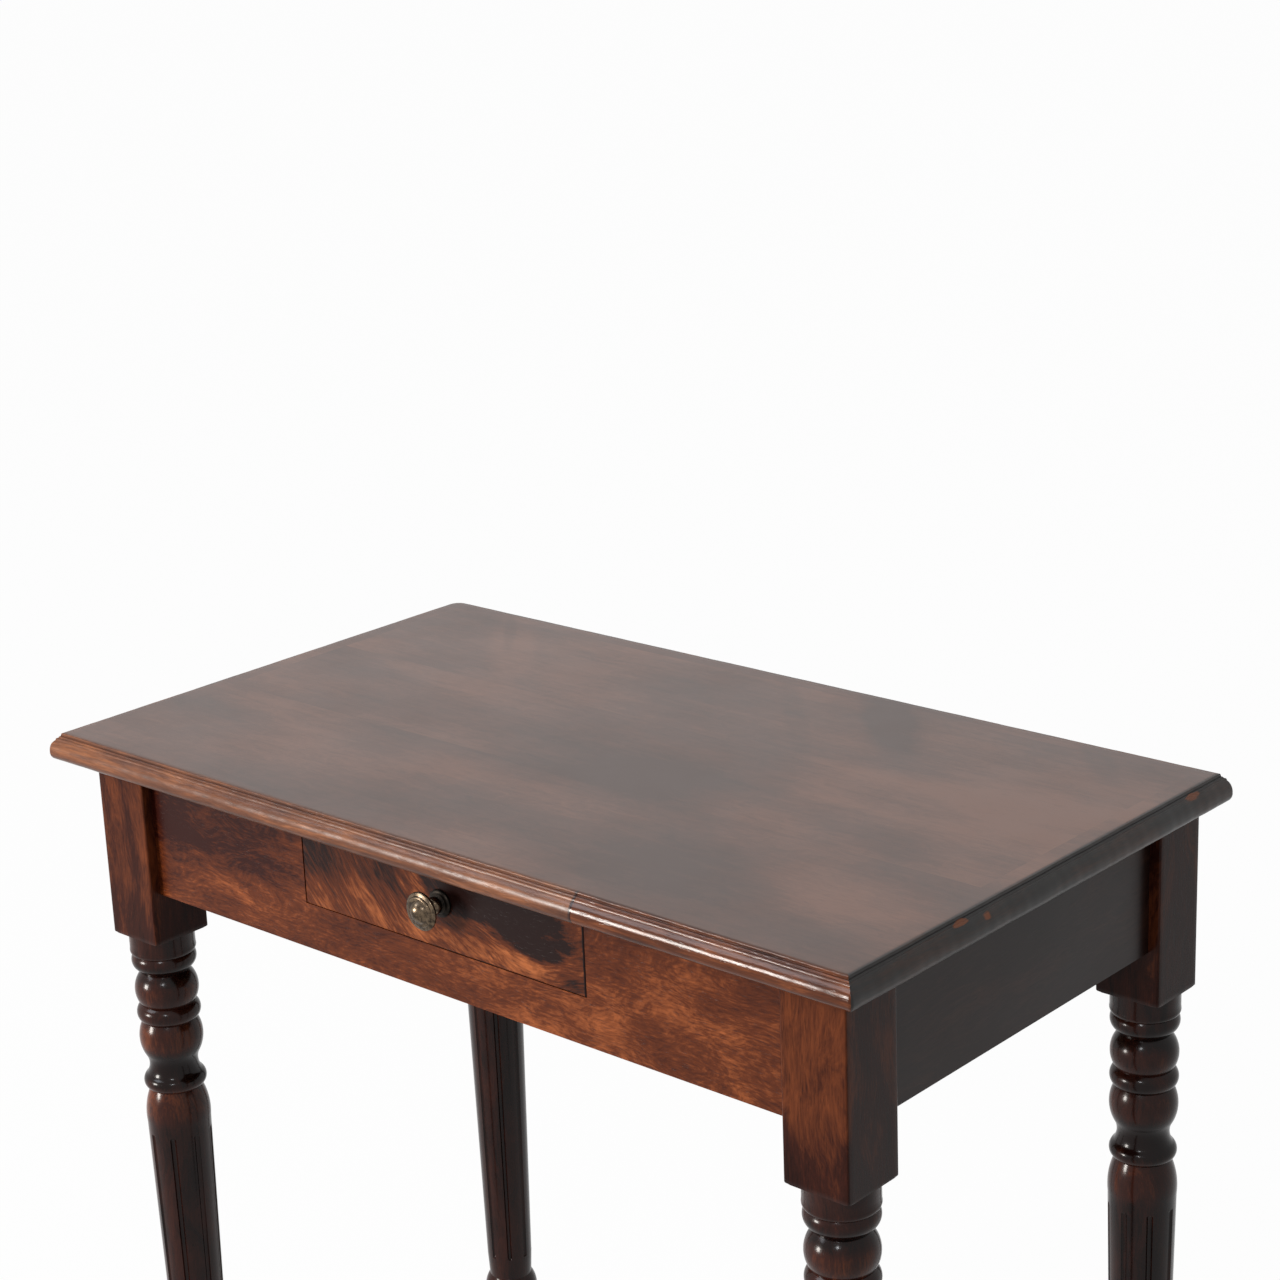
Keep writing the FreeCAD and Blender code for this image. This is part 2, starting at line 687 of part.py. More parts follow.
def tails(root_y, length, low_z, pitch, count):
    """The left side's dovetails, each widening away from its root along the board."""
    wide = pitch * TAIL_WIDTH_SHARE / 2
    narrow = wide - abs(length) * TAIL_SLOPE_SHARE
    solids = []
    for index in range(count):
        middle = low_z + pitch * (index + 1 / 2)
        outline_points = [
            Vector(-DRAWER_X, root_y, middle - narrow),
            Vector(-DRAWER_X, root_y + length, middle - wide),
            Vector(-DRAWER_X, root_y + length, middle + wide),
            Vector(-DRAWER_X, root_y, middle + narrow),
        ]
        solids.append(prism(outline_points, ALONG_X * DRAWER_SIDE_THICKNESS))
    return solids


def front_tails():
    """The left side's tails in the drawer front, which laps over their ends."""
    length = LAP_THICKNESS - DRAWER_FRONT_THICKNESS
    return tails(DRAWER_INNER_Y, length, DRAWER_FLOOR, FRONT_TAIL_PITCH, FRONT_TAIL_COUNT)


def back_tails():
    """The left side's tails through the drawer back."""
    return tails(DRAWER_BACK_Y, DRAWER_BACK_THICKNESS, BOTTOM_TOP, BACK_TAIL_PITCH, BACK_TAIL_COUNT)


def drawer_bottom_board():
    """The drawer's bottom, in grooves at the front and sides and under the back."""
    half = DRAWER_INNER_X + GROOVE_DEPTH
    return box(-half, DRAWER_INNER_Y - GROOVE_DEPTH, BOTTOM_FOOT, half, DRAWER_REAR_Y, BOTTOM_TOP)


def drawer_side():
    """The left side of the drawer, with its tails and the bottom's groove."""
    board = box(-DRAWER_X, DRAWER_INNER_Y, DRAWER_FLOOR, -DRAWER_INNER_X, DRAWER_BACK_Y, DRAWER_SIDE_TOP)
    heel = box(-DRAWER_X, DRAWER_BACK_Y, DRAWER_FLOOR, -DRAWER_INNER_X, DRAWER_REAR_Y, BOTTOM_TOP)
    return board.fuse([heel] + front_tails() + back_tails()).cut(drawer_bottom_board()).removeSplitter()


def drawer_front():
    """The drawer front, its face flush with the apron, with lapped sockets and the knob's hole."""
    board = box(-DRAWER_X, DRAWER_FACE_Y, DRAWER_FLOOR, DRAWER_X, DRAWER_INNER_Y, DRAWER_FRONT_TOP)
    face = [edge for edge in board.Edges if edge.BoundBox.YMax < DRAWER_FACE_Y + DRAWER_FRONT_ARRIS]
    board = board.makeChamfer(DRAWER_FRONT_ARRIS, face)
    sockets = front_tails() + [mirrored(tail, ALONG_X) for tail in front_tails()]
    shank_hole = knob_shank(Vector(KNOB_PLACE, DRAWER_FACE_Y, KNOB_Z), DRAWER_FRONT_THICKNESS)
    return board.cut(sockets + [drawer_bottom_board(), shank_hole])


def drawer_back():
    """The drawer back, standing on the bottom, with the pins between the sides' tails."""
    board = box(-DRAWER_X, DRAWER_BACK_Y, BOTTOM_TOP, DRAWER_X, DRAWER_REAR_Y, DRAWER_SIDE_TOP)
    sockets = back_tails() + [mirrored(tail, ALONG_X) for tail in back_tails()]
    return board.cut(sockets)


def bottom_screw_places():
    """Two screws up through the drawer bottom into the back's edge."""
    y = (DRAWER_BACK_Y + DRAWER_REAR_Y) / 2
    height = BOTTOM_FOOT + SCREW_HEAD_SINK
    return [(Vector(x, y, height), UP, BOTTOM_SCREW_LENGTH) for x in (-BOTTOM_SCREW_PLACE, BOTTOM_SCREW_PLACE)]


def drawer():
    """The drawer's five boards and the screws of its bottom."""
    holes = [screw_hole(*where) for where in bottom_screw_places()]
    side = drawer_side()
    return {
        "drawer_front": drawer_front(),
        "drawer_left_side": side,
        "drawer_right_side": mirrored(side, ALONG_X),
        "drawer_back": drawer_back().cut(holes),
        "drawer_bottom": drawer_bottom_board().cut(holes),
        "drawer_bottom_screws": Part.makeCompound([screw(*where) for where in bottom_screw_places()]),
    }


def knob_shank(place, length):
    """The knob's shank from the place inward, which is also the shape of its hole."""
    return turned([(KNOB_SHANK_RADIUS, 0), (KNOB_SHANK_RADIUS, length)], place, ALONG_Y, KNOB_SHANK_SIDES)


def knob():
    """The turned knob with its shank, the rosette it sits on and the nut inside the drawer."""
    centre = Vector(KNOB_PLACE, DRAWER_FACE_Y, KNOB_Z)
    seat = centre - ALONG_Y * ROSETTE_THICKNESS
    head = turned(outline(KNOB_SHARES, KNOB_REACH - ROSETTE_THICKNESS, KNOB_RADIUS), seat, -ALONG_Y)
    shank_length = ROSETTE_THICKNESS + DRAWER_FRONT_THICKNESS + KNOB_NUT_THICKNESS + KNOB_SHANK_TAIL
    shank = knob_shank(seat, shank_length)
    rosette = turned(outline(ROSETTE_SHARES, ROSETTE_THICKNESS, ROSETTE_RADIUS), centre, -ALONG_Y)
    half = KNOB_NUT_WIDTH / 2
    nut = box(
        KNOB_PLACE - half,
        DRAWER_INNER_Y,
        KNOB_Z - half,
        KNOB_PLACE + half,
        DRAWER_INNER_Y + KNOB_NUT_THICKNESS,
        KNOB_Z + half,
    )
    return {"knob": head.fuse(shank), "knob_rosette": rosette.cut(shank), "knob_nut": nut.cut(shank)}


def build():
    """Every node of the desk, by name, with the frame's middle at the origin."""
    nodes = {}
    top_screws = button_screws()
    for where in kicker_screw_places():
        left = screw(*where)
        top_screws += [left, mirrored(left, ALONG_X)]
    for name, board in {**top_boards(), **edge_mouldings()}.items():
        nodes[name] = board.translated(-ALONG_X * FRAME_SHIFT).cut(top_screws)
    nodes.update(legs())

    frame_screws = []
    for where in brace_screws():
        frame_screws += in_four_corners(screw(*where)).values()
    sockets = button_slots() + runner_tenons()
    sockets += [mirrored(tenon, ALONG_X) for tenon in runner_tenons()]
    nodes.update(aprons(sockets + frame_screws))
    for corner, brace in in_four_corners(front_left_brace()).items():
        nodes[f"{corner}_brace"] = brace
    nodes["brace_screws"] = Part.makeCompound(frame_screws)

    nodes["top_buttons"] = buttons()
    nodes["button_screws"] = Part.makeCompound(button_screws())
    for name, piece in carriage().items():
        nodes[f"left_{name}"] = piece
        nodes[f"right_{name}"] = mirrored(piece, ALONG_X)
    nodes["kicker_screws"] = Part.makeCompound(top_screws[len(button_places()):])

    nodes.update(drawer())
    nodes.update(knob())
    return nodes


os.makedirs("parts", exist_ok=True)
for node, shape in build().items():
    shape.translate(ALONG_X * FRAME_SHIFT)
    shape.exportStep(os.path.join("parts", node + ".step"))
    print(f"{node}: {len(shape.Solids)} solid, {shape.Volume / 1000:.1f} cm3, valid {shape.isValid()}")
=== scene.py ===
"""The writing desk's looks: turned legs, moulded top, figured drawer, finishes, studio and camera.

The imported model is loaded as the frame. The turned and moulded pieces are rebuilt as fine surfaces in the same
places, and every other node keeps its shape and gets a procedural finish. Lengths are in metres, X runs along
the width, Y from the drawer's side to the back and Z up.
"""

from __future__ import annotations

import logging
import math
from dataclasses import dataclass
from enum import Enum
from functools import cached_property

import bpy
import numpy as np
from mathutils import Matrix, Vector


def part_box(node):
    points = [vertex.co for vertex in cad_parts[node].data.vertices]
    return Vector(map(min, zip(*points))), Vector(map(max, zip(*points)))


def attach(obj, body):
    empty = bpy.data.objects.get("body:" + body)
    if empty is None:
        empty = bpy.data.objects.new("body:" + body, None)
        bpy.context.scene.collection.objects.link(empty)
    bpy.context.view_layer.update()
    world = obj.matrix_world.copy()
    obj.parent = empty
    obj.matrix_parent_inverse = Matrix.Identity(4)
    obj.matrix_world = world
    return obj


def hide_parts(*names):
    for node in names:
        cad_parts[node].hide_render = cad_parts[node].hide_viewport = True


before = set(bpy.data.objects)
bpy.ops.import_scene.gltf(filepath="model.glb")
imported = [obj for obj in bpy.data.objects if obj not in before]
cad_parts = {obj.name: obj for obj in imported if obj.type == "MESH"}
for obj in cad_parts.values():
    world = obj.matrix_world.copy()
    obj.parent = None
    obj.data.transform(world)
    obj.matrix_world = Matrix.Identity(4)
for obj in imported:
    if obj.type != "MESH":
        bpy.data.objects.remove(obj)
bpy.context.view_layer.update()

LOG = logging.getLogger("desk")
MM = 0.001

Colour = tuple[float, float, float]
Place = tuple[float, float, float]
Span = tuple[float, float]
Shares = tuple[tuple[float, ...], ...]

# The desk's own places, as the CAD has them.
HALF_WIDTH = 400 * MM
HALF_DEPTH = 230 * MM
BOARD_TOP = 770 * MM
UNDERSIDE = 749 * MM
BLOCK_FOOT = 604 * MM
LEG_X = 345.25 * MM
LEG_Y = 185.25 * MM
FRAME_SHIFT = 9.5 * MM
FRONT_FACE_Y = -203 * MM
JOINT_X = 164.5 * MM
PAST_THE_DESK = 1.0

# The turned outlines, as the CAD has them: (down, out) ends a straight line, and four numbers give a point on an
# arc and the arc's end.
HEAD_SHARES: Shares = (
    (0.000, 0.985),
    (0.080, 0.985),
    (0.103, 0.967, 0.111, 0.913),
    (0.143, 0.978, 0.1815, 0.885),
    (0.208, 0.732),
    (0.3125, 0.960, 0.374, 0.822),
    (0.417, 0.966, 0.464, 0.822),
    (0.551, 0.966, 0.637, 0.832),
    (0.695, 0.737, 0.744, 0.832),
    (0.782, 0.951, 0.821, 0.782),
    (0.895, 0.936, 1.000, 0.968),
)
FOOT_SHARES: Shares = (
    (0.020, 0.960),
    (0.140, 1.195, 0.262, 0.940),
    (0.300, 0.800),
    (0.440, 1.030, 0.620, 0.900),
    (0.955, 0.640),
    (1.000, 0.600),
)
KNOB_SHARES: Shares = (
    (0.000, 0.400),
    (0.120, 0.460, 0.240, 0.380),
    (0.380, 0.300, 0.520, 0.460),
    (0.590, 0.860),
    (0.640, 1.000, 0.720, 0.900),
    (0.735, 0.820),
    (0.780, 0.780, 0.800, 0.700),
    (0.805, 0.600),
    (0.940, 0.360, 1.000, 0.080),
)
ROSETTE_SHARES: Shares = (
    (0.000, 1.000),
    (0.350, 1.000),
    (0.600, 0.900, 0.700, 0.720),
    (1.000, 0.560),
)


@dataclass(frozen=True)
class Detail:
    """How finely the surfaces are divided: points, or steps from point to point, of each stretch."""

    sharp_degrees: float = 32.0
    straight_steps: int = 3
    block_corner: int = 6
    block_face: int = 14
    block_closing: int = 10
    block_rows: int = 30
    leg_arc_steps: int = 12
    flute: int = 11
    flute_run_out: int = 8
    shaft_rows: int = 16
    knob_arc_steps: int = 14
    knob_round: int = 96
    mitre_rows: int = 9
    edge_rows: int = 220


DETAIL = Detail()


class Grain(Enum):
    """The axis that a piece's fibres follow."""

    ALONG_X = 0
    ALONG_Y = 1
    ALONG_Z = 2


class Side(Enum):
    """A side of the top, as its outward direction and the direction along it."""

    FRONT = ((0.0, -1.0), (1.0, 0.0))
    BACK = ((0.0, 1.0), (-1.0, 0.0))
    LEFT = ((-1.0, 0.0), (0.0, -1.0))
    RIGHT = ((1.0, 0.0), (0.0, 1.0))


# Meshes


class MeshBuilder:
    """Collects closed grids of points and joins them in one object."""

    def __init__(self, name: str) -> None:
        """Starts a piece that has no points yet.

        Args:
            name: The name of the object to make.
        """
        self.name = name
        self.points: list[np.ndarray] = []
        self.faces: list[list[int]] = []
        self.count = 0

    def add_loops(self, loops: np.ndarray) -> None:
        """Adds a closed skin through a stack of closed loops, its ends closed by fans.

        The faces are turned outward where the sum of the triangles' signed volumes from the origin is negative.

        Args:
            loops: The points, shaped (loops, points in a loop, 3).
        """
        stack, around = loops.shape[:2]
        points = np.concatenate([loops.reshape(-1, 3), loops[[0, -1]].mean(axis=1)])
        row, column = np.meshgrid(np.arange(stack - 1), np.arange(around), indexing="ij")
        following = (column + 1) % around
        corners = (row * around + column, row * around + following)
        quads = np.stack([*corners, corners[1] + around, corners[0] + around], axis=-1).reshape(-1, 4)
        first, turn = stack * around, np.arange(around)
        onward, last_row = (turn + 1) % around, (stack - 1) * around
        near = np.stack([np.full(around, first), onward, turn], axis=-1)
        far = np.stack([np.full(around, first + 1), last_row + turn, last_row + onward], axis=-1)
        triangles = np.concatenate([quads[:, [0, 1, 2]], quads[:, [0, 2, 3]], near, far])
        first_corner, second, third = (points[triangles[:, index]] for index in range(3))
        volume = np.einsum("ij,ij->", first_corner, np.cross(second, third))
        faces = (quads, near, far) if volume > 0 else (quads[:, ::-1], near[:, ::-1], far[:, ::-1])
        for group in faces:
            self.faces += (group + self.count).tolist()
        self.points.append(points)
        self.count += len(points)

    def finish(self, body: str, slot: str, material: bpy.types.Material, nodes: tuple[str, ...]) -> None:
        """Makes the object, smooth but for its sharp edges, in place of its CAD nodes.

        Args:
            body: The CAD body that it rides on.
            slot: A material slot's name; not used.
            material: Its finish.
            nodes: The CAD nodes that it stands for.
        """
        mesh = bpy.data.meshes.new(self.name)
        mesh.from_pydata(np.concatenate(self.points).tolist(), [], self.faces)
        mesh.validate()
        mesh.shade_smooth()
        mesh.set_sharp_from_angle(angle=math.radians(DETAIL.sharp_degrees))
        mesh.materials.append(material)
        piece = bpy.data.objects.new(self.name, mesh)
        bpy.context.scene.collection.objects.link(piece)
        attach(piece, body)
        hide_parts(*nodes)
        LOG.info("%s: %d faces", self.name, len(self.faces))


def arc_points(start: complex, through: complex, end: complex, count: int) -> np.ndarray:
    """Points of the circle through three points, from after the first to the last.

    The centre comes from the ratio of the two chords as complex numbers, and the points turn about it by equal
    steps.

    Args:
        start: Where the arc starts.
        through: A point on it.
        end: Where it ends.
        count: How many points to give.

    Returns:
        Complex points.
    """
    ratio = (end - start) / (through - start)
    centre = start - (start - through) * (ratio - abs(ratio) ** 2) / 2j / ratio.imag
    sweep = np.angle((through - centre) / (start - centre)) + np.angle((end - centre) / (through - centre))
    return centre + (start - centre) * np.exp(1j * sweep * np.linspace(0, 1, count + 1)[1:])


def turned_outline(shares: Shares, height: float, radius: float, steps: int) -> np.ndarray:
    """A turned outline's points: straight lines in equal steps, and arcs by arc_points.

    Args:
        shares: The outline's table, which starts with a plain point.
        height: What the first share is of.
        radius: What the second share is of.
        steps: Points to an arc.

    Returns:
        Points (out, along), shaped (points, 2).
    """

    def place(along: float, out: float) -> complex:
        """A point of the table as a complex number, out and along."""
        return complex(out * radius, along * height)

    pieces = [np.array([place(*shares[0])])]
    for stroke in shares[1:]:
        start, end = pieces[-1][-1], place(*stroke[-2:])
        if len(stroke) == 4:
            pieces.append(arc_points(start, place(*stroke[:2]), end, steps))
        else:
            pieces.append(np.linspace(start, end, DETAIL.straight_steps + 1)[1:])
    line = np.concatenate(pieces)
    return np.stack([line.real, line.imag], axis=-1)


# Legs


@dataclass(frozen=True)
class LegSizes:
    """The legs' sizes, as the CAD has them, and how far the shaft's end lies inside the block."""

    block: float = 53.5 * MM
    block_top: float = UNDERSIDE
    block_foot: float = BLOCK_FOOT
    arris: float = 1.5 * MM
    pommel: float = 2.5 * MM
    plain_from: float = 8 * MM
    sunk: float = 4 * MM
    sunk_shoulder: float = 3 * MM
    head: float = 168 * MM
    ankle: float = 126 * MM
    ankle_radius: float = 20.4 * MM
    flute_count: int = 8
    flute_width: float = 5.0 * MM
    flute_depth: float = 2.0 * MM
    flute_radius: float = 25.9 * MM
    flute_run_out: float = 2.6 * MM
    flute_margin: float = 6 * MM
    flute_top_space: float = 8 * MM
    flute_foot_space: float = 19 * MM


@dataclass(frozen=True)
class Leg:
    """One leg: a square block over a turned and fluted shaft."""

    name: str
    axis: Span
    twist: float
    sizes: LegSizes = LegSizes()

    def block_loops(self) -> np.ndarray:
        """The block's skin: rounded squares, held below within a circle that closes in as a quarter ellipse.

        Returns:
            Points, shaped (loops, points in a loop, 3).
        """
        sizes = self.sizes
        half, fillet = sizes.block / 2, sizes.arris
        bend = np.linspace(0, math.pi / 2, DETAIL.block_corner)
        corner = (half - fillet) * (1 + 1j) + fillet * np.exp(1j * bend)
        face = np.linspace(corner[-1], corner[-1].conjugate() * -1, DETAIL.block_face)[1:-1]
        quarter = np.concatenate([corner, face])
        square = np.concatenate([quarter * 1j**turn for turn in range(4)])
        closing = sizes.pommel * (1 - np.cos(np.linspace(0, math.pi / 2, DETAIL.block_closing)))
        plain = np.linspace(sizes.plain_from, sizes.block_top - sizes.block_foot, DETAIL.block_rows)
        above = np.concatenate([closing, plain])
        easing = np.clip(1 - above / sizes.pommel, 0, 1)
        limit = half * math.sqrt(2) - sizes.pommel * (1 - np.sqrt(1 - easing**2))
        reach = np.minimum(np.abs(square)[None, :], limit[:, None])
        plan = square / np.abs(square) * reach
        height = np.broadcast_to((sizes.block_foot + above)[:, None], plan.shape)
        return np.stack([plan.real + self.axis[0], plan.imag + self.axis[1], height], axis=-1)

    def flute_ends(self) -> Span:
        """The heights at which the flutes start and end."""
        sizes = self.sizes
        return sizes.block_foot - sizes.head - sizes.flute_top_space, sizes.ankle + sizes.flute_foot_space

    def shaft_line(self) -> np.ndarray:
        """The shaft's outline: the turned head, a straight taper, and the turned foot.

        Returns:
            Points (out, height) from inside the block to the floor, shaped (points, 2).
        """
        sizes = self.sizes
        head = turned_outline(HEAD_SHARES, sizes.head, sizes.block / 2, DETAIL.leg_arc_steps)
        head[:, 1] = sizes.block_foot - head[:, 1]
        foot = turned_outline(FOOT_SHARES, sizes.ankle, sizes.ankle_radius, DETAIL.leg_arc_steps)
        foot[:, 1] = sizes.ankle - foot[:, 1]
        (radius, level), (collar, _) = head[-1], head[0]
        start, end = self.flute_ends()
        ease = sizes.flute_run_out * (1 - np.cos(np.linspace(0, math.pi / 2, DETAIL.flute_run_out)))
        middle = np.linspace(start - sizes.flute_margin, end + sizes.flute_margin, DETAIL.shaft_rows)
        heights = np.concatenate([start - ease, middle, (end + ease)[::-1]])
        out = radius + (sizes.ankle_radius - radius) * (heights - level) / (sizes.ankle - level)
        sunk = [[collar - sizes.sunk, sizes.sunk], [collar, sizes.sunk_shoulder]]
        inside = np.array(sunk) + [0.0, sizes.block_foot]
        return np.concatenate([inside, head, np.stack([out, heights], axis=-1), foot])

    def shaft_loops(self) -> np.ndarray:
        """The shaft's skin: the outline turned about the axis, less the flutes.

        A flute is a groove of circular section. Its depth at a distance x from its middle is the section's
        height there, sqrt(rho^2 - x^2) - (rho - d), where d is the depth along the flute and rho the radius of
        a groove of full width and depth. Along the flute d runs out at each end as a quarter circle.

        Returns:
            Points, shaped (loops, points in a loop, 3).
        """
        sizes = self.sizes
        line = self.shaft_line()
        out, height = line[:, 0:1], line[:, 1:2]
        pitch = 2 * math.pi / sizes.flute_count
        half_angle = sizes.flute_width / 2 / sizes.flute_radius
        inside = np.linspace(-half_angle, half_angle, DETAIL.flute)
        between = np.linspace(half_angle, pitch - half_angle, DETAIL.flute)[1:-1]
        turns = pitch * np.arange(sizes.flute_count)[:, None]
        angles = (turns + np.concatenate([inside, between])).reshape(1, -1)
        start, end = self.flute_ends()
        from_end = np.clip(np.minimum(start - height, height - end) / sizes.flute_run_out, 0, 1)
        width = sizes.flute_width * out / sizes.flute_radius
        section = (width**2 / 4 + sizes.flute_depth**2) / (2 * sizes.flute_depth)
        deep = sizes.flute_depth * np.sqrt(1 - (1 - from_end) ** 2)
        aside = (np.mod(angles + pitch / 2, pitch) - pitch / 2) * out
        groove = np.sqrt(np.clip(section**2 - aside**2, 0, None)) - (section - deep)
        within = (height < start) & (height > end)
        reach = out - np.where(within, np.clip(groove, 0, None), 0)
        turned = angles + math.radians(self.twist)
        place = np.stack([reach * np.cos(turned) + self.axis[0], reach * np.sin(turned) + self.axis[1]], axis=-1)
        return np.concatenate([place, np.broadcast_to(height, reach.shape)[..., None]], axis=-1)

    def build(self, material: bpy.types.Material) -> None:
        """Makes the leg in place of its CAD node.

        Args:
            material: Its finish.
        """
        builder = MeshBuilder(f"{self.name}_turned")
        builder.add_loops(self.block_loops())
        builder.add_loops(self.shaft_loops())
        builder.finish("frame", "leg_wood", material, (self.name,))


# Knob


@dataclass(frozen=True)
class Turning:
    """A turning on the drawer front, its axis pointing out of the face."""

    name: str
    shares: Shares
    reach: float
    radius: float
    seat: Place

    def build(self, material: bpy.types.Material) -> None:
        """Makes the turning: its outline swept round the axis, closed at both ends.

        Args:
            material: Its finish.
        """
        line = turned_outline(self.shares, self.reach, self.radius, DETAIL.knob_arc_steps)
        turn = np.linspace(0, 2 * math.pi, DETAIL.knob_round + 1)[:-1]
        x, y, z = self.seat
        out, along = line[:, 0:1], np.broadcast_to(line[:, 1:2], (len(line), len(turn)))
        loops = np.stack([x + out * np.cos(turn), y - along, z + out * np.sin(turn)], axis=-1)
        builder = MeshBuilder(f"{self.name}_turned")
        builder.add_loops(loops)
        builder.finish("drawer", "brass", material, (self.name,))


# Edge moulding


@dataclass(frozen=True)
class Strip:
    """One length of the top's edge moulding, worn by waves of (radians per metre, phase, share)."""

    name: str
    side: Side
    low: float | None
    high: float | None
    corners: Span
    width: float = 24 * MM
    half_width: float = HALF_WIDTH
    half_depth: float = HALF_DEPTH
    wear: float = 0.12 * MM
    least_wear: float = 1.2
    waves: Shares = ((83.0, 0.0, 1.0), (211.0, 1.3, 0.6), (517.0, 0.0, 0.4))
    worn_from: float = 10 * MM
    worn_over: float = 6 * MM

    def section(self) -> np.ndarray:
        """The strip's section, all the way round, worked out in millimetres as out + height * j.

        Each arc has its start, which isn't among its points, a point on it, its end and its steps.

        Returns:
            Points (out from the inner edge, height), shaped (points, 2).
        """
        top = [749j, 758j, 770j, 5 + 770j, 10 + 770j, 15.2 + 770j]
        arris = arc_points(15.3 + 770j, 15.8 + 769.8j, 16 + 769.3j, 4)
        bead_start, second_start, ovolo_start = 16.1 + 767.7j, 17.9 + 766.3j, 19.6 + 764.6j
        bead = arc_points(bead_start, 17.1 + 767.5j, 17.7 + 766.5j, 5)
        second = arc_points(second_start, 18.9 + 766.1j, 19.5 + 765j, 5)
        ovolo = arc_points(ovolo_start, 22.5 + 761.2j, 23.95 + 755.6j, 16)
        tuck = arc_points(23.95 + 755.2j, 23.3 + 751.7j, 20.8 + 749j, 12)
        under = [15 + 749j, 8 + 749j]
        pieces = [top, arris, [bead_start], bead, [second_start], second, [ovolo_start], ovolo, tuck, under]
        line = np.concatenate(pieces) * MM
        return np.stack([line.real, line.imag], axis=-1)

    def rows(self, out: np.ndarray) -> tuple[np.ndarray, np.ndarray]:
        """Where the section's points lie in each row, from the middle of one corner to that of the other.

        Every point of the section follows a rounded rectangle. Its corner radius is what is left of the
        outermost one after the point's distance inward, so the inner points turn a sharp corner.

        Args:
            out: The points' places out from the inner edge.

        Returns:
            Their places along the side and out from the inner edge, each shaped (rows, points).
        """
        half = self.half_width if self.side in (Side.FRONT, Side.BACK) else self.half_depth
        first, last = (np.clip(corner - (self.width - out), 0, None) for corner in self.corners)
        reach = half - self.width + out
        turn = np.linspace(math.pi / 4, 0, DETAIL.mitre_rows)[:, None]
        share = np.linspace(0, 1, DETAIL.edge_rows)[1:-1, None]
        middle = (first - reach) * (1 - share) + (reach - last) * share
        start, end = reach - first + first * np.sin(turn), reach - last + last * np.sin(turn)
        along = np.concatenate([-start, middle, end[::-1]])
        start_out, end_out = out - first * (1 - np.cos(turn)), out - last * (1 - np.cos(turn))
        return along, np.concatenate([start_out, np.broadcast_to(out, middle.shape), end_out[::-1]])

    def cut(self, out: np.ndarray, along: np.ndarray, offset: np.ndarray) -> tuple[np.ndarray, np.ndarray]:
        """Ends the rows squarely at the joint, if the strip has one.

        Args:
            out: The section's places out from the inner edge.
            along: The rows' places along the side.
            offset: The rows' places out from the inner edge.

        Returns:
            The places along and out of the rows that are left.
        """
        low = -PAST_THE_DESK if self.low is None else self.low
        high = PAST_THE_DESK if self.high is None else self.high
        inside = (along.mean(axis=1) > low) & (along.mean(axis=1) < high)
        along, offset = np.clip(along[inside], low, high), offset[inside]
        if self.low is not None:
            along = np.concatenate([np.full((1, along.shape[1]), low), along])
            offset = np.concatenate([out[None, :], offset])
        if self.high is not None:
            along = np.concatenate([along, np.full((1, along.shape[1]), high)])
            offset = np.concatenate([offset, out[None, :]])
        return along, offset

    def build(self, material: bpy.types.Material) -> None:
        """Makes the strip: its section carried along the side, its outer edge worn by a sum of sines.

        Args:
            material: Its finish.
        """
        section = self.section()
        out, height = section[:, 0], section[:, 1]
        along, offset = self.cut(out, *self.rows(out))
        edge = np.clip((out - self.worn_from) / self.worn_over, 0, 1)
        waves = sum(share * np.sin(along * pitch + phase) for pitch, phase, share in self.waves)
        offset = offset - np.clip(self.wear * (self.least_wear + waves), 0, None) * edge
        (out_x, out_y), (along_x, along_y) = self.side.value
        inner = (self.half_depth if self.side in (Side.FRONT, Side.BACK) else self.half_width) - self.width
        place_x = out_x * (inner + offset) + along_x * along
        place_y = out_y * (inner + offset) + along_y * along
        loops = np.stack([place_x, place_y, np.broadcast_to(height, place_x.shape)], axis=-1)
        builder = MeshBuilder(f"{self.name}_profiled")
        builder.add_loops(loops)
        builder.finish("frame", "moulding_wood", material, (self.name,))


# Shader graphs


class Sock:
    """A shader socket whose operators add Math nodes to its graph."""

    def __init__(self, graph: Graph, socket: bpy.types.NodeSocket) -> None:
        """Wraps a socket of a graph."""
        self.graph = graph
        self.socket = socket

    def math(self, operation: str, first: Sock | float, second: Sock | float) -> Sock:
        """Joins two numbers by a Math node."""
        return self.graph.node("ShaderNodeMath", {"operation": operation}, {0: first, 1: second})

    def __add__(self, other: Sock | float) -> Sock:
        """The sum."""
        return self.math("ADD", self, other)

    def __sub__(self, other: Sock | float) -> Sock:
        """The difference."""
        return self.math("SUBTRACT", self, other)

    def __rsub__(self, other: float) -> Sock:
        """A plain number less this."""
        return self.math("SUBTRACT", other, self)

    def __mul__(self, other: Sock | float) -> Sock:
        """The product."""
        return self.math("MULTIPLY", self, other)

    __radd__ = __add__
    __rmul__ = __mul__

    def __pow__(self, other: float) -> Sock:
        """This to a power."""
        return self.math("POWER", self, other)

    def at_least(self, limit: Sock | float) -> Sock:
        """The larger of this and the limit."""
        return self.math("MAXIMUM", self, limit)

    def absolute(self) -> Sock:
        """This without its sign."""
        return self.graph.node("ShaderNodeMath", {"operation": "ABSOLUTE"}, {0: self})

    def step(self, low: float, high: float) -> Sock:
        """A smooth step from 0 at low to 1 at high."""
        return self.graph.node("ShaderNodeMapRange", {"interpolation_type": "SMOOTHSTEP"}, {0: self, 1: low, 2: high})

    def output(self, name: str) -> Sock:
        """Another output of the same node."""
        return Sock(self.graph, self.socket.node.outputs[name])


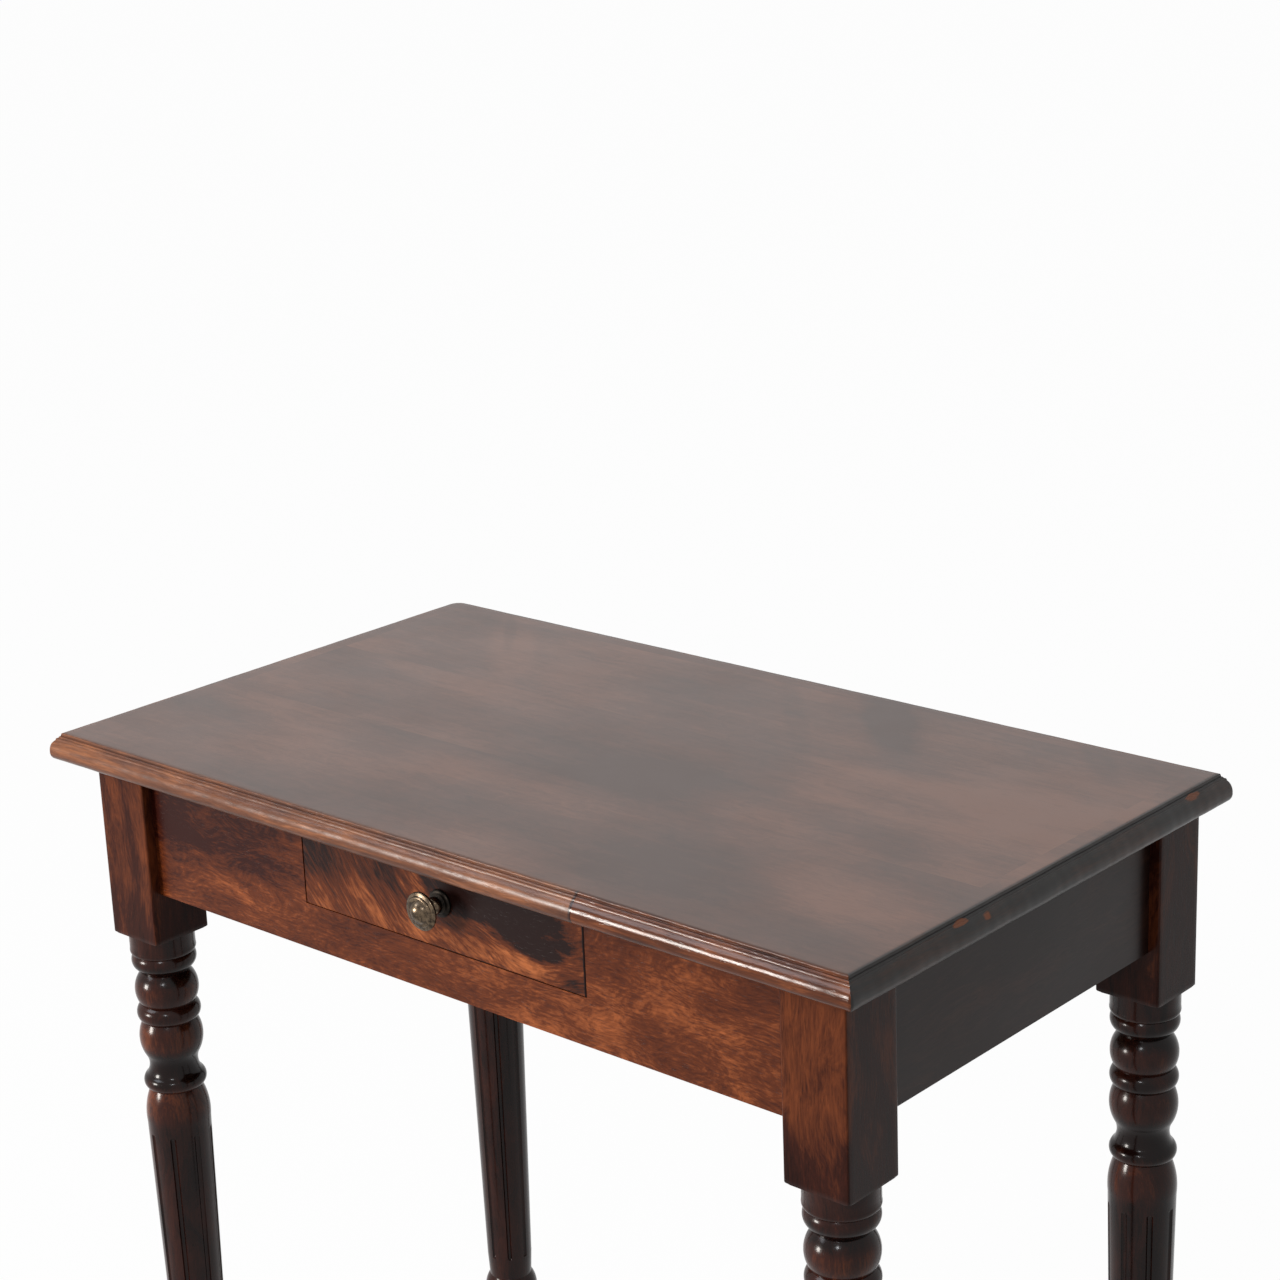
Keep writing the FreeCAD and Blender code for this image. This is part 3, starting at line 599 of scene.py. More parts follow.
class Graph:
    """The node tree of a material or of the surroundings."""

    def __init__(self, owner: bpy.types.Material | bpy.types.World) -> None:
        """Starts with no nodes.

        Args:
            owner: What the tree belongs to.
        """
        owner.use_nodes = True
        self.owner = owner
        self.tree = owner.node_tree
        self.tree.nodes.clear()

    @cached_property
    def where(self) -> Sock:
        """The object coordinates."""
        return self.node("ShaderNodeTexCoord").output("Object")

    @cached_property
    def xyz(self) -> Sock:
        """The object coordinates apart."""
        return self.node("ShaderNodeSeparateXYZ", inputs={0: self.where})

    @cached_property
    def seen(self) -> Sock:
        """Tells the rays by which a thing is seen from those that carry light.

        Returns:
            1 for a ray from the camera or a mirror or through glass, and 0 for any other.
        """
        path = self.node("ShaderNodeLightPath")
        mirrored = path.output("Is Camera Ray").at_least(path.output("Is Glossy Ray"))
        return mirrored.at_least(path.output("Is Transmission Ray"))

    def node(self, kind: str, settings: dict | None = None, inputs: dict | None = None, output: int = 0) -> Sock:
        """Adds a node.

        Args:
            kind: The node's type.
            settings: Its properties, and under "stops" a colour ramp's places and colours.
            inputs: Its inputs by name or number, each a socket or a plain value.
            output: The output to give.

        Returns:
            The output's socket.
        """
        node = self.tree.nodes.new(kind)
        for name, value in (settings or {}).items():
            if name == "stops":
                elements = node.color_ramp.elements
                for place, _ in value[2:]:
                    elements.new(place)
                for element, (place, colour) in zip(elements, sorted(value)):
                    element.position = place
                    element.color = (*colour, 1.0)
            else:
                setattr(node, name, value)
        for name, value in (inputs or {}).items():
            if isinstance(value, Sock):
                self.tree.links.new(value.socket, node.inputs[name])
            else:
                node.inputs[name].default_value = value
        return Sock(self, node.outputs[output] if node.outputs else node.inputs[0])

    def axis(self, index: int) -> Sock:
        """The object coordinate along one axis."""
        return self.xyz.output("XYZ"[index])

    def vector(self, operation: str, first: Sock | Place, second: Sock | Place) -> Sock:
        """Joins two vectors by a Vector Math node."""
        return self.node("ShaderNodeVectorMath", {"operation": operation}, {0: first, 1: second})

    def scaled(self, per_metre: Place) -> Sock:
        """The object coordinates times a scale."""
        return self.vector("MULTIPLY", self.where, per_metre)

    def joined(self, x: Sock | float, y: Sock | float, z: Sock | float) -> Sock:
        """A vector from three numbers."""
        return self.node("ShaderNodeCombineXYZ", inputs={0: x, 1: y, 2: z})

    def noise(self, where: Sock, detail: float = 2.0, rough: float = 0.5, bent: float = 0.0) -> Sock:
        """Noise of unit size, spread around a half."""
        values = {"Vector": where, "Scale": 1.0, "Detail": detail, "Roughness": rough, "Distortion": bent}
        return self.node("ShaderNodeTexNoise", inputs=values)

    def blend(self, share: Sock | float, first: Sock | Colour, second: Sock | Colour) -> Sock:
        """Mixes two colours."""
        plain = [value if isinstance(value, Sock) else (*value, 1.0) for value in (first, second)]
        return self.node("ShaderNodeMix", {"data_type": "RGBA"}, {0: share, 6: plain[0], 7: plain[1]}, output=2)

    def ramp(self, value: Sock, stops: tuple[tuple[float, Colour], ...]) -> Sock:
        """A colour for each value."""
        return self.node("ShaderNodeValToRGB", {"stops": list(stops)}, {0: value})

    def surface(self, inputs: dict, height: Sock, depth: float) -> Sock:
        """Adds a shader with relief.

        Args:
            inputs: The shader's inputs by name.
            height: The relief, from 0 to 1.
            depth: How deep the relief is.

        Returns:
            The shader.
        """
        relief = self.node("ShaderNodeBump", inputs={"Height": height, "Strength": 1.0, "Distance": depth})
        return self.node("ShaderNodeBsdfPrincipled", inputs=inputs | {"Normal": relief})

    def ended(self, shader: Sock) -> bpy.types.Material:
        """Ends the graph in a shader and gives its material."""
        self.node("ShaderNodeOutputMaterial", inputs={"Surface": shader})
        return self.owner


# Finishes


# The figure that all woods share: widths across the fibres and lengths along them, scales per metre, and the
# levels between which a mask rises.
DRIFT = (45 * MM, 110 * MM)
FIBRES = (1.1 * MM, 16 * MM)
RAGGED_EDGES = (7 * MM, 26 * MM)
PORES = (0.8 * MM, 9 * MM)
PORE_LEVELS = (0.60, 0.74)
PATCH_LEVELS = (0.45, 1.25)
TONE_LEVELS = (0.12, 0.50, 0.88)
SPOTS = (45.0, 80.0, 60.0)
SMEARS = (14.0, 14.0, 14.0)
COAT_ROUGHNESS = 0.14
COAT_EDGE = 4 * MM
FACE_COAT_SHARE = 0.45
FACE_EDGE = (-0.6 * MM, -0.1 * MM)


@dataclass(frozen=True)
class Patch:
    """A soft-edged place where a wood's tone differs, turned about Z."""

    centre: Place
    reach: Place
    strength: float
    turn: float = 0.0


def front_patches(rows: Shares) -> tuple[Patch, ...]:
    """Patches on the front face, from rows of x, z, half width, half height and strength."""
    return tuple(Patch((x, FRONT_FACE_Y, z), (wide, 30 * MM, high), gain) for x, z, wide, high, gain in rows)


def top_patches(rows: Shares, turn: float = 0.0) -> tuple[Patch, ...]:
    """Patches on the top, from rows of x, y, half width, half depth and strength."""
    return tuple(Patch((x, y, BOARD_TOP), (wide, deep, 20 * MM), gain, turn) for x, y, wide, deep, gain in rows)


@dataclass(frozen=True)
class WoodFinish:
    """One wood's colours, figure and polish."""

    deep: Colour
    middle: Colour
    bright: Colour
    band: float = 26 * MM
    band_gain: float = 1.1
    band_length: float = 4.0
    streak: float = 4.5 * MM
    streak_gain: float = 1.1
    streak_length: float = 8.0
    fibre_gain: float = 0.3
    curl: float = 54 * MM
    pores: float = 0.45
    ragged: float = 1.1
    mottle: float = 0.0
    rough: float = 0.32
    rough_spread: float = 0.10
    specular: float = 0.35
    coat: float = 0.0
    coat_below: float = PAST_THE_DESK
    relief: float = 0.12 * MM


@dataclass(frozen=True)
class Wood:
    """A wood finish on one piece, with its own stretch of the grain."""

    name: str
    finish: WoodFinish
    grain: Grain
    offset: Place = (0.0, 0.0, 0.0)
    patches: tuple[Patch, ...] = ()
    right_face: float = PAST_THE_DESK

    def path(self, graph: Graph) -> Sock:
        """Where the grain is read, the fibres along this piece's axis."""
        return graph.vector("ADD", graph.where, self.offset)

    def stretched(self, graph: Graph, where: Sock, width: float, length: float) -> Sock:
        """Coordinates in units of a figure's width and of its length along the fibres."""
        scale = tuple(1 / (length if axis is self.grain else width) for axis in Grain)
        return graph.vector("MULTIPLY", where, scale)

    def tone(self, graph: Graph) -> tuple[Sock, Sock]:
        """Adds bands, streaks, fibres and spots, each noise less a half, to a tone of a half.

        Args:
            graph: The graph to add them in.

        Returns:
            The tone, from 0, dark, to 1, bright, and the fibres alone.
        """
        finish = self.finish
        where = self.path(graph)
        drift = graph.noise(self.stretched(graph, where, *DRIFT)).output("Color")
        shift = graph.vector("MULTIPLY", graph.vector("SUBTRACT", drift, (0.5, 0.5, 0.5)), (finish.curl,) * 3)
        bent = graph.vector("ADD", where, shift)
        bands = graph.noise(self.stretched(graph, bent, finish.band, finish.band * finish.band_length))
        length = finish.streak * finish.streak_length
        streaks = graph.noise(self.stretched(graph, bent, finish.streak, length), detail=5.0, rough=0.62)
        fibres = graph.noise(self.stretched(graph, where, *FIBRES), detail=3.0, rough=0.6)
        tone = (bands - 0.5) * finish.band_gain + (streaks - 0.5) * finish.streak_gain
        tone = tone + (fibres - 0.5) * finish.fibre_gain + 0.5
        if finish.mottle:
            spots = graph.noise(graph.scaled(SPOTS), detail=6.0, rough=0.7, bent=1.2)
            tone = tone + (spots - 0.5) * finish.mottle
        return tone, fibres

    def patched(self, graph: Graph, tone: Sock) -> Sock:
        """Adds the piece's light and dark places, soft ellipsoids whose edges noise breaks up: tone in the wood, and
        painted light and shade.

        Args:
            graph: The graph to add them in.
            tone: The tone without them.

        Returns:
            The tone with them.
        """
        if not self.patches:
            return tone
        edges = graph.noise(self.stretched(graph, self.path(graph), *RAGGED_EDGES), detail=3.0)
        ragged = (edges - 0.5) * self.finish.ragged
        for patch in self.patches:
            away = graph.vector("SUBTRACT", graph.where, patch.centre)
            if patch.turn:
                values = {"Vector": away, "Angle": math.radians(-patch.turn)}
                away = graph.node("ShaderNodeVectorRotate", {"rotation_type": "Z_AXIS"}, values)
            scaled = graph.vector("MULTIPLY", away, tuple(1 / reach for reach in patch.reach))
            distance = graph.vector("LENGTH", scaled, (0.0, 0.0, 0.0)).output("Value") + ragged
            tone = tone + (1.0 - distance.step(*PATCH_LEVELS)) * patch.strength
        return tone

    def colour(self, graph: Graph, tone: Sock) -> Sock:
        """The wood's colour for its tone."""
        colours = (self.finish.deep, self.finish.middle, self.finish.bright)
        return graph.ramp(tone, tuple(zip(TONE_LEVELS, colours)))

    def coat(self, graph: Graph) -> Sock:
        """Where the clear coat lies: below the leg's block, and thinner on the right face of the block.

        Args:
            graph: The graph that it is in.

        Returns:
            The coat's share, from 0 to 1.
        """
        below = 1.0 - graph.axis(2).step(self.finish.coat_below, self.finish.coat_below + COAT_EDGE)
        face = graph.axis(0).step(*(self.right_face + edge for edge in FACE_EDGE))
        return below.at_least(face * FACE_COAT_SHARE)

    def shader(self, graph: Graph) -> Sock:
        """Adds the wood's shader: its colour with dark pores, smeared polish, coat and relief.

        Args:
            graph: The graph to add it in.

        Returns:
            The shader.
        """
        finish = self.finish
        tone, fibres = self.tone(graph)
        tone = self.patched(graph, tone)
        colour = self.colour(graph, tone)
        pores = graph.noise(self.stretched(graph, self.path(graph), *PORES), detail=1.0).step(*PORE_LEVELS)
        colour = graph.blend(pores * finish.pores, colour, finish.deep)
        smears = graph.noise(graph.scaled(SMEARS), detail=4.0, rough=0.6)
        rough = (smears - 0.5) * (finish.rough_spread * 2) + finish.rough
        inputs = {"Base Color": colour, "Roughness": rough, "Specular IOR Level": finish.specular}
        if finish.coat:
            inputs |= {"Coat Weight": self.coat(graph) * finish.coat, "Coat Roughness": COAT_ROUGHNESS}
        relief = (fibres * 0.5 + smears * 0.35) - pores * 0.5
        return graph.surface(inputs, relief, finish.relief)

    def build(self) -> bpy.types.Material:
        """Makes the material."""
        graph = Graph(bpy.data.materials.new(self.name))
        return graph.ended(self.shader(graph))


@dataclass(frozen=True)
class FlameWood(Wood):
    """A crotch veneer, whose streaks curl round a heart above and to the right."""

    heart: Span = (104.5 * MM, 860 * MM)
    mean_radius: float = 190 * MM

    def path(self, graph: Graph) -> Sock:
        """Bends the grain: the angle about the heart is read for the width, and the distance for the height.

        Args:
            graph: The graph that it is in.

        Returns:
            Where the grain is read.
        """
        across, up = graph.axis(0) - self.heart[0], graph.axis(2) - self.heart[1]
        radius = (across * across + up * up) ** 0.5
        arc = graph.node("ShaderNodeMath", {"operation": "ARCTAN2"}, {0: up, 1: across}) * self.mean_radius
        return graph.vector("ADD", graph.joined(arc, graph.axis(1), radius), self.offset)


@dataclass(frozen=True)
class MouldedWood(Wood):
    """Moulding wood: painted shade in its quirk and painted light and shade on its lower lip, cracked at the joint,
    and as the boards on top.
    """

    board: Wood | None = None
    joint: float = PAST_THE_DESK
    # Tone shifts for painted light and shade on the lower lip, and for painted shade in the quirk.
    lip_painted_light: float = 0.25
    quirk_shade: float = 0.15
    crack: float = 0.9
    quirk_foot: Span = (766.6 * MM, 767.7 * MM)
    quirk_head: Span = (768.4 * MM, 769.2 * MM)
    lip_head: Span = (751.0 * MM, 755.5 * MM)
    crack_edge: Span = (0.3 * MM, 1.6 * MM)
    flat_foot: Span = (769.2 * MM, 769.8 * MM)
    flat_edge: Span = (-12.2 * MM, -9.2 * MM)

    def colour(self, graph: Graph, tone: Sock) -> Sock:
        """Changes the tone by its place on the moulding, painted shade in the quirk and painted light and shade on the
        lip, and colours it.

        Args:
            graph: The graph that it is in.
            tone: The wood's tone.

        Returns:
            The colour.
        """
        height = graph.axis(2)
        quirk_shade = height.step(*self.quirk_foot) * (1.0 - height.step(*self.quirk_head))
        lip_painted_light = 1.0 - height.step(*self.lip_head)
        crack = 1.0 - (graph.axis(0) - self.joint).absolute().step(*self.crack_edge)
        return super().colour(graph, tone + lip_painted_light * self.lip_painted_light - quirk_shade * self.quirk_shade - crack * self.crack)

    def shader(self, graph: Graph) -> Sock:
        """Mixes the moulding's own shader with the boards', which shows on the flat top but for its rim.

        Args:
            graph: The graph to add them in.

        Returns:
            The shader.
        """
        past_side, past_front = graph.axis(0).absolute() - HALF_WIDTH, graph.axis(1).absolute() - HALF_DEPTH
        inner = 1.0 - past_side.at_least(past_front).step(*self.flat_edge)
        flat = graph.axis(2).step(*self.flat_foot) * inner
        shaders = {1: super().shader(graph), 2: self.board.shader(graph)}
        return graph.node("ShaderNodeMixShader", inputs={0: flat} | shaders)


@dataclass(frozen=True)
class Metal:
    """A tarnished metal."""

    name: str
    clean: Colour
    dull: Colour
    rough: float
    blotches: Place = (260.0, 260.0, 260.0)
    blotch_levels: Span = (0.36, 0.64)
    blotch_rough: float = 0.30
    specks: Place = (1400.0, 1400.0, 1400.0)
    speck_rough: float = 0.12
    relief: float = 0.025 * MM

    def build(self) -> bpy.types.Material:
        """Makes the material: blotches dull it, and blotches and specks roughen it.

        Returns:
            The material.
        """
        graph = Graph(bpy.data.materials.new(self.name))
        blotches = graph.noise(graph.scaled(self.blotches), detail=5.0, rough=0.65)
        specks = graph.noise(graph.scaled(self.specks))
        colour = graph.blend(blotches.step(*self.blotch_levels), self.clean, self.dull)
        rough = (blotches - 0.5) * self.blotch_rough + (specks - 0.5) * self.speck_rough + self.rough
        inputs = {"Base Color": colour, "Metallic": 1.0, "Roughness": rough}
        return graph.ended(graph.surface(inputs, specks * 0.5 + blotches * 0.5, self.relief))


# The desk


class Desk:
    """All of the desk's pieces and finishes."""

    APRON = WoodFinish(
        deep=(0.024, 0.0035, 0.0018), middle=(0.105, 0.023, 0.006), bright=(0.330, 0.090, 0.026),
        band=34 * MM, band_gain=0.8, band_length=2.2, streak=2.6 * MM, streak_gain=0.85, streak_length=3.4,
        fibre_gain=0.35, curl=70 * MM, rough=0.30, specular=0.11, relief=0.08 * MM,
    )
    FLAME = WoodFinish(
        deep=(0.012, 0.0035, 0.0028), middle=(0.100, 0.022, 0.006), bright=(0.360, 0.105, 0.032),
        band=20 * MM, band_gain=0.9, band_length=3.0, streak=2.4 * MM, streak_gain=1.05, streak_length=6.0,
        fibre_gain=0.35, curl=38 * MM, rough=0.30, specular=0.11, relief=0.08 * MM,
    )
    # A darkened copy of the apron's finish for the right apron: painted shade on its unlit side.
    PAINTED_SHADE_APRON = WoodFinish(
        deep=(0.008, 0.0035, 0.0028), middle=(0.016, 0.0065, 0.0050), bright=(0.045, 0.018, 0.011),
        band=40 * MM, band_gain=0.8, streak_gain=0.6, rough=0.34, specular=0.16, relief=0.04 * MM,
    )
    LEG = WoodFinish(
        deep=(0.006, 0.0016, 0.0011), middle=(0.034, 0.0078, 0.0042), bright=(0.150, 0.038, 0.012),
        band=18 * MM, band_gain=0.7, streak=2.2 * MM, streak_gain=0.55, curl=50 * MM, rough=0.24, specular=0.07,
        coat=0.22, coat_below=BLOCK_FOOT, relief=0.04 * MM,
    )
    TOP = WoodFinish(
        deep=(0.085, 0.044, 0.032), middle=(0.145, 0.068, 0.046), bright=(0.250, 0.113, 0.072),
        band=75 * MM, band_gain=1.3, band_length=2.2, streak=6 * MM, streak_gain=0.4, streak_length=30.0,
        fibre_gain=0.30, curl=16 * MM, pores=0.30, ragged=0.2, mottle=0.55, rough=0.34, rough_spread=0.06,
        specular=0.5, relief=0.04 * MM,
    )
    MOULDING = WoodFinish(
        deep=(0.024, 0.006, 0.003), middle=(0.100, 0.026, 0.008), bright=(0.300, 0.090, 0.028),
        band=16 * MM, band_gain=0.8, streak=2.4 * MM, streak_gain=0.9, streak_length=14.0, curl=16 * MM,
        rough=0.16, specular=0.18, relief=0.05 * MM,
    )
    DULL_MOULDING = WoodFinish(
        deep=(0.034, 0.010, 0.005), middle=(0.130, 0.042, 0.016), bright=(0.330, 0.120, 0.045),
        band=20 * MM, band_gain=0.8, streak=2.4 * MM, streak_gain=0.9, streak_length=14.0, curl=16 * MM,
        rough=0.30, specular=0.24, relief=0.06 * MM,
    )
    # A darkened copy of the moulding's finish for the right length: painted shade on its unlit side.
    PAINTED_SHADE_MOULDING = WoodFinish(
        deep=(0.013, 0.0110, 0.0100), middle=(0.018, 0.0150, 0.0135), bright=(0.260, 0.080, 0.028),
        band=30 * MM, band_gain=0.16, streak_gain=0.12, fibre_gain=0.08, ragged=2.6, rough=0.38, specular=0.29,
        relief=0.03 * MM,
    )
    BARE = WoodFinish(
        deep=(0.150, 0.080, 0.040), middle=(0.330, 0.200, 0.110), bright=(0.480, 0.330, 0.200),
        rough=0.62, specular=0.25, relief=0.15 * MM,
    )

    # Where tones differ. On a leg: height, half height and strength; painted glints lighten the swellings and painted
    # shade darkens the hollows. On the top and the front face: the rows that top_patches and front_patches take.
    LEG_GLINTS_AND_HOLLOW_SHADE = (
        (0.571, 0.010, -0.20), (0.552, 0.012, 0.14), (0.514, 0.013, 0.19), (0.488, 0.015, -0.30), (0.455, 0.017, 0.24),
    )
    # Lighter and darker places on the top.
    TOP_TONE_PATCHES = (
        (0.355, 0.015, 0.060, 0.090, 0.20), (0.322, 0.105, 0.090, 0.070, 0.30),
        (0.236, 0.043, 0.110, 0.050, 0.32), (0.319, -0.125, 0.080, 0.040, 0.16),
        (-0.276, -0.040, 0.090, 0.070, 0.15), (0.150, -0.150, 0.120, 0.050, -0.35),
        (0.010, -0.020, 0.140, 0.060, -0.40),
    )
    # Painted reflections on the top: light and dark streaks that run along the camera's line of sight.
    TOP_PAINTED_REFLECTIONS = (
        (-0.262, 0.160, 0.120, 0.022, 0.20), (-0.285, 0.180, 0.060, 0.006, -0.18),
        (0.060, 0.145, 0.100, 0.010, -0.12), (0.128, 0.178, 0.100, 0.022, -0.42),
        (0.306, 0.196, 0.060, 0.012, -0.16),
    )
    REFLECTION_SLANT = 132.0
    APRON_TONES_AND_SHADE = (
        # The upper left end, darker under the moulding: partly dark figure, partly painted shade.
        (-0.250, 0.725, 0.150, 0.045, -0.32), (-0.300, 0.690, 0.050, 0.040, -0.14),
        (0.202, 0.724, 0.040, 0.020, 0.03), (0.287, 0.676, 0.040, 0.025, 0.10),
        # The thin dark strip at x 0.328, on the apron beside the front right leg's block, is painted shade.
        (0.328, 0.700, 0.006, 0.100, -0.60), (0.100, 0.662, 0.090, 0.022, 0.10),
        (-0.040, 0.662, 0.110, 0.022, -0.07),
    )
    DRAWER_TONES_AND_SHADOW = (
        # The first three rows, dark right of the knob: partly dark figure, partly painted shadow of the knob and
        # moulding.
        (0.066, 0.730, 0.066, 0.018, -0.80), (0.100, 0.709, 0.034, 0.012, -0.40),
        (0.128, 0.712, 0.030, 0.026, -0.24), (0.050, 0.692, 0.070, 0.009, 0.22),
        (-0.045, 0.692, 0.045, 0.010, 0.05), (-0.095, 0.732, 0.080, 0.026, -0.30),
        (0.1512, 0.715, 0.0013, 0.100, -1.00), (0.070, 0.6826, 0.100, 0.0012, -0.80),
    )
    # The chips in the right moulding's edge: y, z, half length and half height.
    CHIPS = ((-0.107, 0.7665, 0.006, 0.0016), (-0.081, 0.7630, 0.004, 0.0024), (0.178, 0.7660, 0.008, 0.0020))

    def legs(self) -> None:
        """The four legs, their front faces made lighter and redder than the rest: painted light on the lit side."""
        half, wide = LegSizes.block / 2, 300 * MM
        for index, (name, x, y, twist, front, dark) in enumerate(
            (
                ("front_left_leg", -LEG_X, -LEG_Y, -8.0, 0.13, -0.17),
                ("front_right_leg", LEG_X, -LEG_Y, 0.0, 0.22, -0.15),
                ("back_left_leg", -LEG_X, LEG_Y, 0.0, 0.10, -0.20),
                ("back_right_leg", LEG_X, LEG_Y, 0.0, 0.05, -0.30),
            )
        ):
            axis = (x + FRAME_SHIFT, y)
            # The block's front face is lightened: painted light on the side that faces the lamps.
            face = Patch((axis[0], y - half, 0.705), (0.060, 0.009, 0.080), front)
            bands = ((0.612, 0.034, -0.06), (0.330, 0.300, dark), *self.LEG_GLINTS_AND_HOLLOW_SHADE)
            patches = (face, *(Patch((*axis, height), (wide, wide, reach), gain) for height, reach, gain in bands))
            offset = (0.37 * index, 0.11 * index, 0.43 * index)
            glossy = axis[0] + half if name == "front_right_leg" else PAST_THE_DESK
            wood = Wood(f"{name}_wood", self.LEG, Grain.ALONG_Z, offset, patches, glossy)
            Leg(name, axis, twist).build(wood.build())

    def top(self) -> None:
        """The boards and the moulding round them."""
        # The top's patches: painted reflection streaks, and lighter and darker places in the wood.
        smears = top_patches(self.TOP_PAINTED_REFLECTIONS, self.REFLECTION_SLANT) + top_patches(self.TOP_TONE_PATCHES)
        for index, place in enumerate(("front", "middle", "back")):
            offset = (0.7 * index, 0.13 * index, 0.29 * index)
            wood = Wood(f"top_{place}_wood", self.TOP, Grain.ALONG_X, offset, smears)
            self.dress((f"top_board_{place}",), wood.build())
        board = Wood("board", self.TOP, Grain.ALONG_X, patches=smears)
        left, right, back, far = 2 * MM, 3 * MM, 5 * MM, 18 * MM
        worn = tuple(Patch((398 * MM, y, z), (30 * MM, deep, high), 0.7) for y, z, deep, high in self.CHIPS)
        # The last column is the lower lip's painted light and shade.
        for index, (name, side, ends, corners, finish, patches, lip_painted_light) in enumerate(
            (
                ("front_edge_moulding_left", Side.FRONT, (None, JOINT_X), (left, 0.0), self.DULL_MOULDING, (), -0.20),
                ("front_edge_moulding_right", Side.FRONT, (JOINT_X, None), (0.0, right), self.MOULDING, (), -0.12),
                ("back_edge_moulding", Side.BACK, (None, None), (back, far), self.MOULDING, (), 0.25),
                ("left_edge_moulding", Side.LEFT, (None, None), (far, left), self.MOULDING, (), 0.25),
                # The right length takes painted shade.
                ("right_edge_moulding", Side.RIGHT, (None, None), (right, back), self.PAINTED_SHADE_MOULDING, worn, 0.0),
            )
        ):
            grain = Grain.ALONG_X if side in (Side.FRONT, Side.BACK) else Grain.ALONG_Y
            offset = (0.37 * index, 0.23 * index, 0.11 * index)
            joint = JOINT_X if side is Side.FRONT else PAST_THE_DESK
            wood = MouldedWood(f"{name}_wood", finish, grain, offset, patches, board=board, joint=joint, lip_painted_light=lip_painted_light)
            Strip(name, side, *ends, corners).build(wood.build())

    def carcase(self) -> None:
        """The aprons and what they hold."""
        for name, grain, finish, patches in (
            ("front_apron", Grain.ALONG_X, self.APRON, front_patches(self.APRON_TONES_AND_SHADE)),
            ("back_apron", Grain.ALONG_X, self.APRON, ()),
            ("left_apron", Grain.ALONG_Y, self.APRON, ()),
            # The right apron takes painted shade.
            ("right_apron", Grain.ALONG_Y, self.PAINTED_SHADE_APRON, ()),
        ):
            self.dress((name,), Wood(f"{name}_wood", finish, grain, (0.1, 0.2, len(name) * 0.3), patches).build())
        inner = Wood("inner_bare_wood", self.BARE, Grain.ALONG_Y).build()
        kinds = ("brace", "button", "runner", "guide", "kicker", "stop")
        names = [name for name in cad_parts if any(kind in name for kind in kinds) and "screw" not in name]
        self.dress(tuple(names), inner)

    def drawer(self) -> None:
        """The drawer with its knob."""
        patches = front_patches(self.DRAWER_TONES_AND_SHADOW)
        front = FlameWood("drawer_flame_wood", self.FLAME, Grain.ALONG_X, (0.4, 0.3, 0.2), patches)
        self.dress(("drawer_front",), front.build())
        box = Wood("drawer_box_wood", self.BARE, Grain.ALONG_Y, (0.2, 0.5, 0.1)).build()
        self.dress(("drawer_left_side", "drawer_right_side"), box)
        across = Wood("drawer_cross_wood", self.BARE, Grain.ALONG_X, (0.6, 0.1, 0.4)).build()
        self.dress(("drawer_back", "drawer_bottom"), across)
        brass = Metal("antique_brass", (0.150, 0.108, 0.070), (0.040, 0.030, 0.022), 0.27).build()
        # The rosette behind the knob takes a darkened copy of the brass: painted shade.
        dark = Metal("painted_shade_brass", (0.024, 0.019, 0.015), (0.010, 0.009, 0.008), 0.48).build()
        rosette, rosette_radius, knob, knob_radius = 4 * MM, 10.5 * MM, 23 * MM, 14.5 * MM
        aside, half_nut = 3.5 * MM, 5 * MM
        seat = (aside + FRAME_SHIFT, FRONT_FACE_Y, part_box("knob_nut")[0].z + half_nut)
        Turning("knob_rosette", ROSETTE_SHARES, rosette, rosette_radius, seat).build(dark)
        Turning("knob", KNOB_SHARES, knob, knob_radius, (seat[0], seat[1] - rosette, seat[2])).build(brass)

    def hardware(self) -> None:
        """The screws and the nut."""
        steel = Metal("dull_steel", (0.30, 0.28, 0.26), (0.16, 0.14, 0.13), 0.45).build()
        self.dress(tuple(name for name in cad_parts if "screws" in name) + ("knob_nut",), steel)

    def dress(self, nodes: tuple[str, ...], material: bpy.types.Material) -> None:
        """Gives CAD nodes their finish.

        Args:
            nodes: The nodes' names.
            material: Their finish.
        """
        for name in nodes:
            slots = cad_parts[name].data.materials
            slots.clear()
            slots.append(material)
            LOG.info("%s: %s", name, material.name)

    def build(self) -> None:
        """Makes every piece."""
        self.legs()
        self.top()
        self.carcase()
        self.drawer()
        self.hardware()


# Studio


@dataclass(frozen=True)
class Lamp:
    """A square soft lamp that points at a place."""

    name: str
    place: Place
    target: Place
    size: float
    power: float
    colour: Colour

    def build(self) -> None:
        """Makes the lamp."""
        data = bpy.data.lights.new(self.name, "AREA")
        data.shape, data.size, data.energy, data.color = "SQUARE", self.size, self.power, self.colour
        lamp = bpy.data.objects.new(self.name, data)
        bpy.context.scene.collection.objects.link(lamp)
        place = Vector(self.place)
        turn = (Vector(self.target) - place).to_track_quat("-Z", "Y")
        lamp.matrix_world = Matrix.Translation(place) @ turn.to_matrix().to_4x4()


